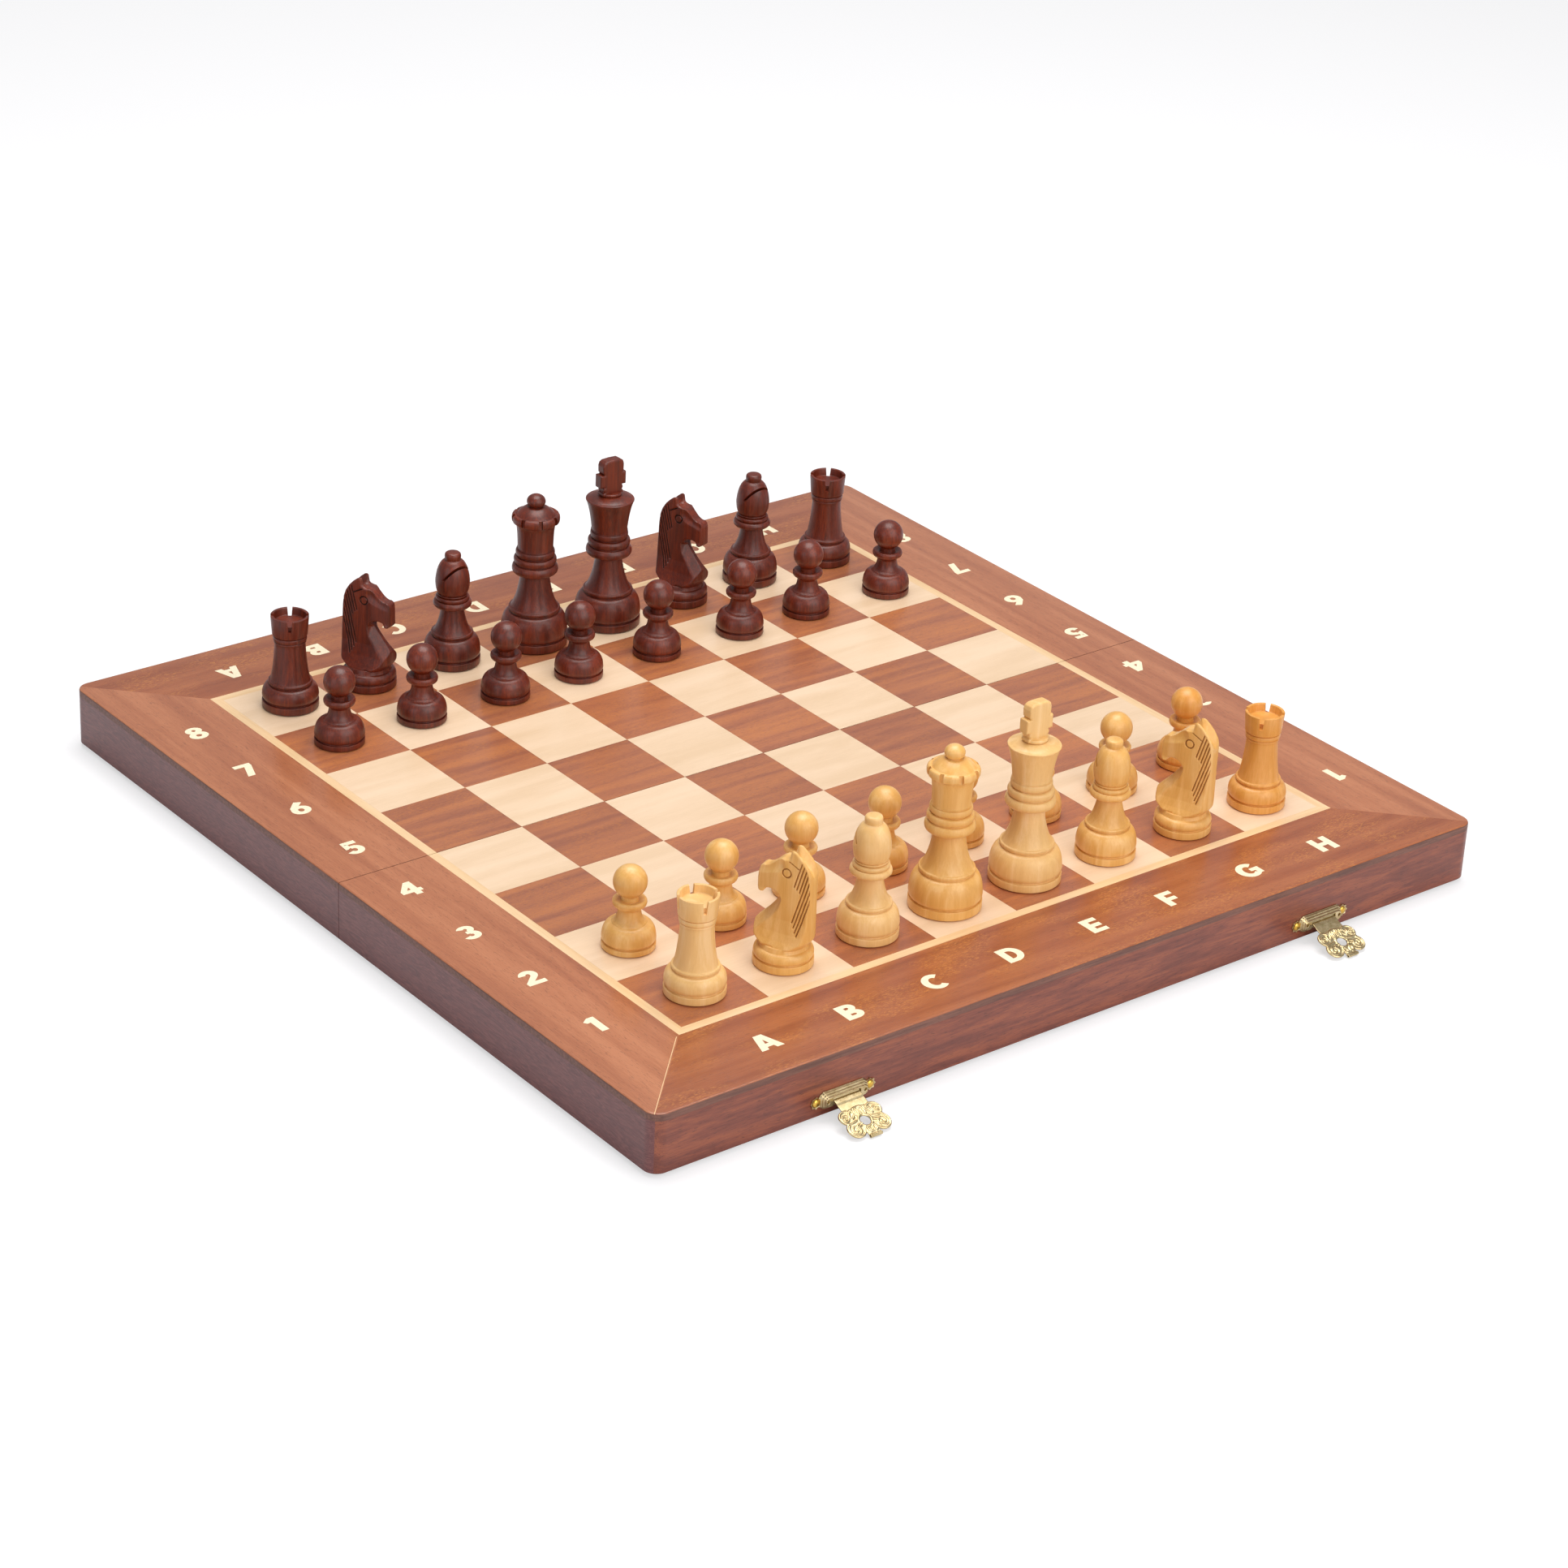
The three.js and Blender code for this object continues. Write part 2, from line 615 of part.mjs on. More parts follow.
function crossOutline(foot) {
  const top = foot + king.crossHeight;
  const half = king.crossWidth / 2;
  const arm = king.armWidth / 2;
  const nick = half - king.notch;
  const armBottom = foot + king.armLift;
  const armTop = armBottom + king.armHeight;
  const shape = new THREE.Shape();
  shape.moveTo(-half, foot);
  shape.lineTo(half, foot);
  shape.lineTo(nick, armBottom);
  shape.lineTo(arm, armBottom);
  shape.lineTo(arm, armTop);
  shape.lineTo(nick, armTop);
  shape.lineTo(half, armTop + king.notch);
  shape.lineTo(half, top - king.crossRound);
  shape.quadraticCurveTo(half, top, half - king.crossRound, top);
  shape.lineTo(king.crossRound - half, top);
  shape.quadraticCurveTo(-half, top, -half, top - king.crossRound);
  shape.lineTo(-half, armTop + king.notch);
  shape.lineTo(-nick, armTop);
  shape.lineTo(-arm, armTop);
  shape.lineTo(-arm, armBottom);
  shape.lineTo(-nick, armBottom);
  return shape;
}

function kingSolid() {
  const turned = royalStem(king)
    .rise(king.cupHeight, king.cupTop)
    .curve(king.domeHeight, king.dome, domeBelly)
    .rise(king.finialHeight);
  const top = turned.end.y;
  const cross = upright(
    crossOutline(top - king.finialHeight / 2), king.crossThickness / 2, king.crossThickness);
  return turned.close().solid(royalSides).add(solid(cross));
}

// The knight's head as fractions of the blank's radius and the head's height, facing +X.
const headOutline = [
  [-1.1, -0.05], [1.1, -0.05], [1.06, 0.14], [0.73, 0.3], [0.46, 0.43], [0.55, 0.47],
  [0.8, 0.42], [1.02, 0.52], [1.01, 0.72], [0.68, 0.765], [0.42, 0.825], [0.25, 0.9],
  [0.04, 0.9], [0.05, 1], [-0.29, 0.985], [-0.55, 0.925], [-0.79, 0.83], [-0.92, 0.69],
  [-0.97, 0.5], [-1.1, 0.3],
];

// The head is carved from a turned blank: its side outline and its front outline are both cut away.
function knightSolid() {
  const turned = new Turning(knight.foot)
    .rise(knight.plinth)
    .curve(knight.torus, knight.waist, knight.torusBelly)
    .rise(knight.waistHeight);
  const chin = turned.end.y;
  const overlap = knight.waistHeight / 2;
  const blank = new Turning(knight.waist)
    .rise(overlap)
    .curve(knight.chamfer, knight.blank, knight.chamferBelly)
    .rise(knight.headHeight)
    .close()
    .solid(minorSides)
    .translate([0, 0, chin - overlap]);

  const reach = knight.blank * 2;
  const side = outline(headOutline.map(
    ([along, up]) => [along * knight.blank, chin + up * knight.headHeight]));
  const front = new THREE.Shape();
  const [shoulder, neck, crown] = [knight.shoulderWidth, knight.neckWidth, knight.crownWidth]
    .map(width => width / 2);
  const flareUp = chin + knight.flareHeight;
  const neckUp = chin + knight.neckHeight;
  const top = chin + knight.headHeight;
  front.moveTo(-shoulder, chin - overlap);
  front.lineTo(shoulder, chin - overlap);
  front.quadraticCurveTo(neck, flareUp, neck, neckUp);
  front.lineTo(crown, top);
  front.lineTo(-crown, top);
  front.lineTo(-neck, neckUp);
  front.quadraticCurveTo(-neck, flareUp, -shoulder, chin - overlap);
  const head = blank
    .intersect(solid(upright(side, reach / 2, reach)))
    .intersect(solid(upright(front, reach / 2, reach).rotateZ(Math.PI / 2)));
  return turned.close().solid(minorSides).add(head);
}

// ---------------------------------------------------------------- assembly

const chessSet = new THREE.Group();

for (const colour of ['white', 'black']) {
  const tray = new THREE.Group();
  const turned = colour === 'black';
  tray.rotation.z = turned ? Math.PI : 0;
  chessSet.add(tray);
  const leftSide = turned ? 1 : -1;

  part(tray, turned ? 'back_wall' : 'front_wall',
    raised(frontWallOutline(), rim, wallHeight), wallWood);
  part(tray, `left_wall_${colour}`, raised(sideWallOutline(leftSide), rim, wallHeight), wallWood);
  part(tray, `right_wall_${colour}`, raised(sideWallOutline(-leftSide), rim, wallHeight), wallWood);
  part(tray, `seam_wall_${colour}`, seamWall(), wallWood);
  part(tray, `panel_${colour}`, raised(trayOutline(boardHalf), panelBottom, panelThickness), plywood);
  part(tray, `border_veneer_${colour}`,
    raised(borderOutline(), veneerBottom, veneerThickness), mahogany);
  part(tray, `dark_squares_${colour}`, darkSheet(), darkVeneer);
  part(tray, `light_squares_${colour}`, lightSheet(), lightVeneer);
  part(tray, `felt_lining_${colour}`, block(
    [-innerHalf, -innerHalf, panelBottom - glueLine - feltThickness],
    [innerHalf, -seam - wallThickness, panelBottom - glueLine]), felt);

  for (const side of [-1, 1]) {
    const end = side === leftSide ? 'left' : 'right';
    const knuckles = turned ? [0] : [-1, 1];
    part(tray, `hinge_leaf_${colour}_${end}`, hingeLeaf(knuckles, !turned), brass)
      .position.x = side * hingeOffset;
    const plate = turned
      ? part(tray, `catch_plate_${end}`, catchPlate(), brass)
      : part(tray, `clasp_plate_${end}`, claspPlate(), brass);
    plate.position.set(side * claspOffset, -boardHalf, rim);
    if (!turned) {
      const swing = part(tray, `clasp_hasp_${end}`, hasp(), brass);
      swing.position.set(side * claspOffset, -boardHalf - pivotDepth, pivotHeight);
      swing.rotation.x = -haspAngle;
    }
  }
}

const men = {
  pawn: geometryOf(pawnSolid()),
  rook: geometryOf(rookSolid()),
  bishop: geometryOf(bishopSolid()),
  queen: geometryOf(queenSolid()),
  king: geometryOf(kingSolid()),
  knight: geometryOf(knightSolid()),
};

for (const [colour, places, wood] of [['white', white, boxwood], ['black', black, rosewood]]) {
  for (const [man, square, offX, offY, turn] of places) {
    const only = man === 'king' || man === 'queen';
    const name = only ? `${colour}_${man}` : `${colour}_${man}_${square}`;
    const file = square.charCodeAt(0) - 'a'.charCodeAt(0);
    const rank = Number(square[1]) - 1;
    const mesh = part(chessSet, name, men[man], wood);
    mesh.position.set(
      (file + 0.5) * squareSize - fieldHalf + offX,
      (rank + 0.5) * squareSize - fieldHalf + offY,
      boardTop,
    );
    mesh.rotation.z = THREE.MathUtils.degToRad(turn);
  }
}

// The origin is the middle of the whole set's footprint, at table level.
const extent = new THREE.Box3().setFromObject(chessSet, true);
const middle = extent.getCenter(new THREE.Vector3());
chessSet.position.set(-middle.x, -middle.y, -extent.min.z);

export default chessSet;
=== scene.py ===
import functools
import json
import math

import bpy
import numpy as np
from mathutils import Matrix, Vector


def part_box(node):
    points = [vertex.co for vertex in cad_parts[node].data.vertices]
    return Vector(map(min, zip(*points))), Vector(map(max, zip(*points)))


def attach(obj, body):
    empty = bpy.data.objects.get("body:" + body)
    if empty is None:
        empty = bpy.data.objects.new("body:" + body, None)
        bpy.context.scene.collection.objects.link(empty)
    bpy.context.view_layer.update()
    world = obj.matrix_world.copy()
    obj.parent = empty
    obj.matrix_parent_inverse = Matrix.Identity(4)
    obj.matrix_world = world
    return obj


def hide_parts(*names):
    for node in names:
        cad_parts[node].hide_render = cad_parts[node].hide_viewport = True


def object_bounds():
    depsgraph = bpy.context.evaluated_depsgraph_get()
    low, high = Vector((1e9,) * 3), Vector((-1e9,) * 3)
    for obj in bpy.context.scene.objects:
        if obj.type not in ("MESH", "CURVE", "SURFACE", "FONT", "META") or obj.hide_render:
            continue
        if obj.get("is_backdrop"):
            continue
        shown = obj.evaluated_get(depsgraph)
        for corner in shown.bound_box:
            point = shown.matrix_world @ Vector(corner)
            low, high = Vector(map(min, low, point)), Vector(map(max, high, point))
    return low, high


# The looks of a wooden chess set on its folding board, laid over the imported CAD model.
# Shapes are drawn in millimetres about the middle of the board's seam, at table level, with White
# on the -Y side. Black's tray is White's turned half way round. add() moves them into the frame.

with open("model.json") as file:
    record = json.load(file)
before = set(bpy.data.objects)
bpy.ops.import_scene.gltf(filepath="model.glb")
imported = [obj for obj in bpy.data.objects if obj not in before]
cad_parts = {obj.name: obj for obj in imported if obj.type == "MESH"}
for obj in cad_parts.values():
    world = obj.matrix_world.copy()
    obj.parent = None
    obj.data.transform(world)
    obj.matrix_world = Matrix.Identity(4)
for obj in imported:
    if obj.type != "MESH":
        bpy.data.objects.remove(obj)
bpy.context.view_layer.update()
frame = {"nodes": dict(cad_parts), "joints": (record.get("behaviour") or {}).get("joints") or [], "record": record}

MM = 0.001
WHITE, BLACK = "white_half", "black_half"
HALF_TURN = math.pi


def span(node):
    """A CAD node's lowest and highest corner, in millimetres."""
    low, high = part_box(node)
    return low / MM, high / MM


def body_of(node):
    """The name of the body that a CAD node belongs to."""
    return next(b for b, nodes in frame["record"]["behaviour"]["bodies"].items() if node in nodes)


# ------------------------------------------------------------------ sizes from the frame

front_low, front_high = span("front_wall")
side_low, side_high = span("right_wall_white")
sheet_low, sheet_high = span("light_squares_white")
panel_low, panel_high = span("panel_white")
border_low, border_high = span("border_veneer_white")
seam_y = (sheet_high.y + span("light_squares_black")[0].y) / 2
seam_gap = seam_y - sheet_high.y
half = side_high.x
rim = front_low.z
top = border_high.z
wall = side_high.x - side_low.x
inner_half = half - wall
string_half = sheet_high.x

# ------------------------------------------------------------------ sizes that are only looks

SQUARE = 40.0
CORNER = 6.0            # outer corner of the board
CORNER_STEPS = 10       # for each eighth of a turn
EDGE = 0.7              # rounding along the border's outer edge
FOOT_BEVEL = 0.5        # along the walls' lower edge
JOINT = 0.02            # between neighbouring veneers
HAIRLINE = 0.28         # pale glue line at the front left mitre
SIGN_PROUD = 0.03       # letters and figures, over the border
SIGN_DEPTH = 0.25
SIDES = 72

# ------------------------------------------------------------------ colours, as sRGB out of 255


def tint(red, green, blue):
    """An sRGB colour out of 255 as a linear RGBA colour."""
    channels = [c / 255 for c in (red, green, blue)]
    linear = [c / 12.92 if c <= 0.04045 else ((c + 0.055) / 1.055) ** 2.4 for c in channels]
    return (*linear, 1.0)


# ------------------------------------------------------------------ materials


class Nodes:
    """A new material or world and its node tree, with short calls for the nodes used here."""

    def __init__(self, name, kind="materials"):
        self.owner = getattr(bpy.data, kind).new(name)
        self.owner.use_nodes = True
        self.tree = self.owner.node_tree
        self.shader = self.tree.nodes.get("Principled BSDF")

    def node(self, kind, inputs=(), **settings):
        made = self.tree.nodes.new("ShaderNode" + kind)
        for key, value in settings.items():
            setattr(made, key, value)
        for key, value in dict(inputs).items():
            self.feed(made.inputs[key], value)
        return made

    def feed(self, socket, value):
        if isinstance(value, bpy.types.NodeSocket):
            self.tree.links.new(value, socket)
        else:
            socket.default_value = value

    def math(self, operation, *values, clamp=False):
        made = self.node("Math", operation=operation, use_clamp=clamp)
        for socket, value in zip(made.inputs, values):
            self.feed(socket, value)
        return made.outputs[0]

    def coordinates(self, size, shift=(0, 0, 0)):
        """Object coordinates, moved by shift in millimetres and divided by a feature's size."""
        place = self.node("TexCoord").outputs["Object"]
        shifted = self.node("Mapping", {"Vector": place, "Location": [s * MM for s in shift]})
        return self.node("Mapping", {"Vector": shifted.outputs[0],
                                     "Scale": [1 / (s * MM) for s in size]}).outputs[0]

    def noise(self, vector, detail, rough=0.5, bend=0.0):
        return self.node("TexNoise", {"Vector": vector, "Scale": 1.0, "Detail": detail,
                                      "Roughness": rough, "Distortion": bend}).outputs["Fac"]

    def specks(self, size, detail, rough=0.5):
        """Noise with features of one size, in millimetres, in every direction."""
        return self.noise(self.coordinates((size,) * 3), detail, rough)

    def ramp(self, value, *stops, smooth=False):
        """stops are (position, colour or grey)."""
        made = self.node("ValToRGB", {"Fac": value})
        band = made.color_ramp
        band.interpolation = "EASE" if smooth else "LINEAR"
        while len(band.elements) < len(stops):
            band.elements.new(1.0)
        for element, (position, colour) in zip(band.elements, stops):
            element.position = position
            element.color = colour if hasattr(colour, "__len__") else (colour,) * 3 + (1,)
        return made.outputs["Color"]

    def mix(self, kind, amount, under, over):
        made = self.node("Mix", data_type="RGBA", blend_type=kind, clamp_factor=True)
        self.feed(made.inputs["Factor"], amount)
        self.feed(made.inputs[6], under)
        self.feed(made.inputs[7], over)
        return made.outputs[2]

    def bump(self, height, depth, under=None):
        """Relief of depth millimetres from a height of 0 to 1."""
        made = self.node("Bump", {"Height": height, "Distance": depth * MM, "Strength": 1.0})
        if under:
            self.feed(made.inputs["Normal"], under)
        return made.outputs["Normal"]

    def finish(self, **sockets):
        """The material, with the shader's sockets fed by name, with _ for each space."""
        for key, value in sockets.items():
            self.feed(self.shader.inputs[key.replace("_", " ")], value)
        return self.owner


COAT_ROUGH = 0.2        # of the varnish
GRAIN_RELIEF = 0.02     # millimetres
PORE_SHADE = 0.4        # how dark a pore is, as a share of the wood's darkest tint


def stretched(along, length, width):
    """A feature size that is long along one axis."""
    return tuple(length if axis == along else width for axis in "XYZ")


def wood(name, dark, middle, light, along, ribbon=(120, 8), grain=(9, 0.5), pore=(2.4, 0.32),
         pore_dark=0.4, pore_share=0.36, fleck=None, fleck_amount=0.4, cells=None,
         cell_spread=0.0, rough=0.3, coat=0.5, bend=0.3, contrast=0.35):
    """Wood with slow ribbons, fine grain and short dark pores, all running along one axis.

    cells is the size of a patch, such as a square, that has its own piece of veneer."""
    n = Nodes(name)
    offset = None
    if cells:
        place = n.coordinates((cells, cells, 1e6), shift=(0, -seam_y, 0))
        cell = n.node("VectorMath", {0: place}, operation="FLOOR").outputs[0]
        chance = n.node("TexWhiteNoise", {"Vector": cell}, noise_dimensions="3D")
        offset = n.node("VectorMath", {0: chance.outputs["Color"], 1: (40, 40, 40)},
                        operation="MULTIPLY").outputs[0]

    def layer(size, detail, roughness, warp=0.0):
        spot = n.coordinates(stretched(along, *size))
        if offset:
            spot = n.node("VectorMath", {0: spot, 1: offset}, operation="ADD").outputs[0]
        return n.noise(spot, detail, roughness, warp)

    slow = layer(ribbon, 2.0, 0.5, bend)
    fine = layer(grain, 4.0, 0.7)
    pores = layer(pore, 1.0, 0.5)
    body = n.math("MULTIPLY_ADD", fine, contrast, n.math("MULTIPLY", slow, 1 - contrast))
    colour = n.ramp(body, (0.38, dark), (0.5, middle), (0.62, light))
    pit = n.ramp(pores, (pore_share - 0.05, 1.0), (pore_share + 0.02, 0.0))
    colour = n.mix("MIX", n.math("MULTIPLY", pit, pore_dark), colour,
                   tuple(c * PORE_SHADE for c in dark[:3]) + (1,))
    if fleck:
        spark = n.ramp(layer((1.6, 0.45), 2.0, 0.6, 0.4), (0.5, 0.0), (0.62, 1.0))
        patch = n.ramp(layer((34, 12), 1.0, 0.5), (0.46, 0.0), (0.6, 1.0), smooth=True)
        amount = n.math("MULTIPLY", n.math("MULTIPLY", spark, patch), fleck_amount)
        colour = n.mix("MIX", amount, colour, fleck)
    if cells:
        value = n.math("MULTIPLY_ADD", chance.outputs["Value"], cell_spread, 1 - cell_spread / 2)
        colour = n.node("HueSaturation", {"Color": colour, "Value": value}).outputs[0]
    gloss = n.math("MULTIPLY_ADD", fine, 0.1, rough - 0.05)
    normal = n.bump(n.math("SUBTRACT", fine, n.math("MULTIPLY", pit, 0.8)), GRAIN_RELIEF)
    return n.finish(Base_Color=colour, Roughness=gloss, Normal=normal, Coat_Weight=coat,
                    Coat_Roughness=COAT_ROUGH)


border_wood = {
    "X": wood("border_veneer_X", tint(143, 74, 41), tint(157, 86, 49), tint(169, 98, 58), "X",
              ribbon=(150, 7), fleck=tint(204, 132, 64), fleck_amount=0.5),
    "Y": wood("border_veneer_Y", tint(164, 97, 63), tint(178, 110, 73), tint(190, 122, 84), "Y",
              ribbon=(150, 7)),
}
dark_square = wood("dark_veneer", tint(155, 92, 65), tint(173, 105, 70), tint(189, 117, 72), "X",
                   ribbon=(90, 7), grain=(5, 0.4), pore=(1.8, 0.3), cells=SQUARE,
                   cell_spread=0.14, fleck=tint(200, 124, 60), coat=0.4, bend=0.6)
light_square = wood("light_veneer", tint(230, 199, 164), tint(236, 206, 173), tint(241, 212, 181),
                    "X", ribbon=(80, 10), pore_dark=0.05, cells=SQUARE, cell_spread=0.03,
                    coat=0.3)
string_wood = {axis: wood(f"string_veneer_{axis}", tint(230, 192, 144), tint(236, 200, 154),
                          tint(241, 206, 163), axis, ribbon=(80, 3), pore_dark=0.05, coat=0.3)
               for axis in "XY"}
front_wood = wood("front_wall_wood", tint(106, 48, 34), tint(127, 62, 42), tint(148, 77, 47), "X",
                  ribbon=(34, 4), grain=(7, 0.5), pore=(3.2, 0.4), pore_dark=0.55, rough=0.4,
                  coat=0.25, bend=1.0, contrast=0.45)
# The side walls' wood is darker, greyer and more violet than the front wall's. This is painted shade plus a
# painted reflection of the pale floor.
side_wood_painted_shade = wood("side_wall_wood_painted_shade", tint(96, 49, 49), tint(111, 60, 58), tint(125, 72, 68), "Y",
                 ribbon=(12, 1.6), grain=(5, 0.5), pore_dark=0.25, rough=0.4, coat=0.25, bend=3.0,
                 contrast=0.3)
inner_wood = {axis: wood(f"inner_wall_wood_{axis}", tint(110, 64, 50), tint(142, 86, 68),
                         tint(168, 104, 82), axis, ribbon=(50, 5), rough=0.5, coat=0.1)
              for axis in "XY"}
plywood = {axis: wood(f"plywood_{axis}", tint(95, 58, 47), tint(112, 71, 57), tint(128, 83, 68),
                      axis, ribbon=(30, 1.2), grain=(6, 0.35), pore_dark=0.35, rough=0.5,
                      coat=0.1) for axis in "XY"}


def turned_wood(name, dark, middle, light, rough, coat, **changes):
    """Wood that stands on end, so its grain shows as faint lines up the stems."""
    look = dict(ribbon=(70, 6), grain=(20, 0.7), pore=(3.0, 0.35), pore_dark=0.06, bend=0.8)
    look.update(changes)
    return wood(name, dark, middle, light, "Z", rough=rough, coat=coat, **look)


boxwood = {
    "pale": turned_wood("boxwood_pale", tint(230, 182, 114), tint(236, 190, 122),
                        tint(242, 201, 142), 0.4, 0.2),
    "honey": turned_wood("boxwood_honey", tint(224, 166, 86), tint(231, 176, 97),
                         tint(239, 190, 120), 0.4, 0.2),
    "orange": turned_wood("boxwood_orange", tint(218, 148, 64), tint(226, 159, 74),
                          tint(235, 172, 94), 0.4, 0.2),
}
rosewood = turned_wood("rosewood", tint(74, 20, 4), tint(98, 29, 5), tint(122, 42, 9),
                       0.42, 0.15, pore_dark=0.3, ribbon=(60, 7), contrast=0.6)
# Painted shade: darker tones for the floors of the knights' cuts, where the narrow grooves fall into shade.
cut_boxwood = turned_wood("cut_boxwood", tint(166, 108, 50), tint(180, 122, 60),
                          tint(196, 138, 74), 0.6, 0.0)
cut_rosewood = turned_wood("cut_rosewood", tint(40, 13, 5), tint(52, 18, 7), tint(66, 25, 11),
                           0.6, 0.0)


def brass_material(name, colour, shade, rough):
    """Brass that goes from one colour to a darker shade in soft patches."""
    n = Nodes(name)
    worn = n.specks(2.2, 3.0)
    dull = n.specks(0.5, 2.0)
    hue = n.mix("MIX", n.ramp(worn, (0.35, 0.0), (0.7, 1.0)), colour, shade)
    return n.finish(Base_Color=hue, Roughness=n.math("MULTIPLY_ADD", dull, 0.16, rough - 0.08),
                    Normal=n.bump(dull, 0.006), Metallic=1.0)


brass = brass_material("pale_brass", tint(214, 196, 154), tint(180, 158, 112), 0.3)
nail_brass = brass_material("nail_brass", tint(228, 188, 92), tint(196, 150, 60), 0.24)


def felt_material():
    n = Nodes("green_felt")
    tufts = n.specks(0.6, 4.0, 0.7)
    cloud = n.specks(14, 2.0)
    shade = n.math("MULTIPLY_ADD", tufts, 0.6, n.math("MULTIPLY", cloud, 0.4))
    colour = n.ramp(shade, (0.35, tint(30, 66, 44)), (0.65, tint(56, 104, 72)))
    return n.finish(Base_Color=colour, Roughness=n.math("MULTIPLY_ADD", tufts, 0.1, 0.88),
                    Normal=n.bump(tufts, 0.25), Sheen_Weight=0.5)


green_felt = felt_material()


def ink_material():
    n = Nodes("cream_inlay")
    speck = n.specks(0.8, 3.0)
    colour = n.ramp(speck, (0.3, tint(240, 226, 192)), (0.7, tint(250, 240, 212)))
    return n.finish(Base_Color=colour, Roughness=n.math("MULTIPLY_ADD", speck, 0.1, 0.38),
                    Normal=n.bump(speck, 0.01))


cream = ink_material()

# ------------------------------------------------------------------ shapes


def mesh_of(name, points, faces):
    """A new mesh, from points in the units that it is to have."""
    mesh = bpy.data.meshes.new(name)
    mesh.from_pydata(points, [], faces)
    return mesh


def placed(name, data):
    """A new object, linked to the scene."""
    made = bpy.data.objects.new(name, data)
    bpy.context.scene.collection.objects.link(made)
    return made


def add(name, verts, faces, body, slot, materials, replaces=(), turn=0.0, which=None,
        marks=None, smooth=None):
    """A piece from points in millimetres about the seam's middle, riding on a CAD body.

    turn is about the seam's middle. Each face's material, by its index, comes from marks or from
    which, a function of the face's normal. smooth is the angle up to which edges are shaded
    smooth."""
    points = np.array(verts, float) @ np.array(Matrix.Rotation(turn, 3, "Z")).T
    points += (0, seam_y, 0)
    mesh = mesh_of(name, (points * MM).tolist(), faces)
    piece = placed(name, mesh)
    for material in materials:
        mesh.materials.append(material)
    if which:
        marks = [which(face.normal) for face in mesh.polygons]
    if marks:
        mesh.polygons.foreach_set("material_index", marks)
    if smooth:
        mesh.shade_smooth()
        mesh.set_sharp_from_angle(angle=math.radians(smooth))
    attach(piece, body)
    if replaces:
        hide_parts(*replaces)
    return piece


def corner_arc(side_x, first, last):
    """Stations round an outer corner of White's tray: place and outward normal."""
    middle = half - CORNER
    stations = []
    for i in range(CORNER_STEPS + 1):
        angle = math.radians(first + (last - first) * i / CORNER_STEPS)
        nx, ny = math.cos(angle), math.sin(angle)
        stations.append((side_x * middle + CORNER * nx, -middle + CORNER * ny, nx, ny))
    return stations


left_end = [(-half, -seam_gap, -1, 0)]
right_end = [(half, -seam_gap, 1, 0)]
front_path = corner_arc(-1, 225, 270) + corner_arc(1, 270, 315)
left_path = left_end + corner_arc(-1, 180, 225)
right_path = corner_arc(1, 315, 360) + right_end
tray_path = (left_end + corner_arc(-1, 180, 225)[:-1] + front_path
             + corner_arc(1, 315, 360)[1:] + right_end)


def along_path(path, profile, inner=()):
    """A closed solid whose outer face follows a path with a profile of (inset, height).

    inner are the points that close it behind, from the path's end back to its start."""
    count = len(path)
    verts = [(x - nx * inset, y - ny * inset, z) for inset, z in profile for x, y, nx, ny in path]
    faces = []
    for row in range(len(profile) - 1):
        for i in range(count - 1):
            at = row * count + i
            faces.append((at, at + 1, at + 1 + count, at + count))
    columns = [[row * count + count - 1 for row in range(len(profile))]]
    for x, y in inner:
        columns.append([len(verts), len(verts) + 1])
        verts += [(x, y, profile[0][1]), (x, y, profile[-1][1])]
    columns.append([row * count for row in range(len(profile))])
    for one, two in zip(columns, columns[1:]):
        faces.append([one[0]] + two + one[:0:-1])
    between = columns[1:-1]
    upper = (len(profile) - 1) * count
    faces.append([upper + i for i in range(count)] + [column[1] for column in between])
    faces.append([column[0] for column in between][::-1] + list(range(count))[::-1])
    return verts, faces


def boxes(corners):
    """Closed blocks from (low corner, high corner) pairs."""
    verts, faces = [], []
    for (x0, y0, z0), (x1, y1, z1) in corners:
        at = len(verts)
        verts += [(x, y, z) for z in (z0, z1) for x, y in ((x0, y0), (x1, y0), (x1, y1), (x0, y1))]
        quads = ((3, 2, 1, 0), (4, 5, 6, 7), (0, 1, 5, 4), (1, 2, 6, 5), (2, 3, 7, 6), (3, 0, 4, 7))
        faces += [tuple(at + i for i in quad) for quad in quads]
    return verts, faces


def prism(outline, low, high):
    """An outline of (x, y) points raised from low to high."""
    count = len(outline)
    verts = [(x, y, z) for z in (low, high) for x, y in outline]
    faces = [tuple(range(count))[::-1], tuple(range(count, 2 * count))]
    faces += [(i, (i + 1) % count, (i + 1) % count + count, i + count) for i in range(count)]
    return verts, faces


# ------------------------------------------------------------------ board

field = 4 * SQUARE      # from the board's middle to the edge of the squares
wall_profile = [(FOOT_BEVEL, rim), (0, rim + FOOT_BEVEL), (0, front_high.z)]
panel_profile = [(0, panel_low.z), (0, panel_high.z)]
edge_profile = [(0, border_low.z)] + [
    (EDGE * (1 - math.cos(a)), top - EDGE * (1 - math.sin(a)))
    for a in (math.pi / 2 * i / 5 for i in range(6))
]


def outward(normal):
    """Material 1 for an upright face, 0 for the rest."""
    return 1 if abs(normal.z) < 0.5 else 0


def behind(reach):
    """The inner corners that close the front, left and right strips, reach from the middle."""
    near, far = (-reach, -reach), (reach, -reach)
    return [far, near], [near, (-reach, -seam_gap)], [(reach, -seam_gap), far]


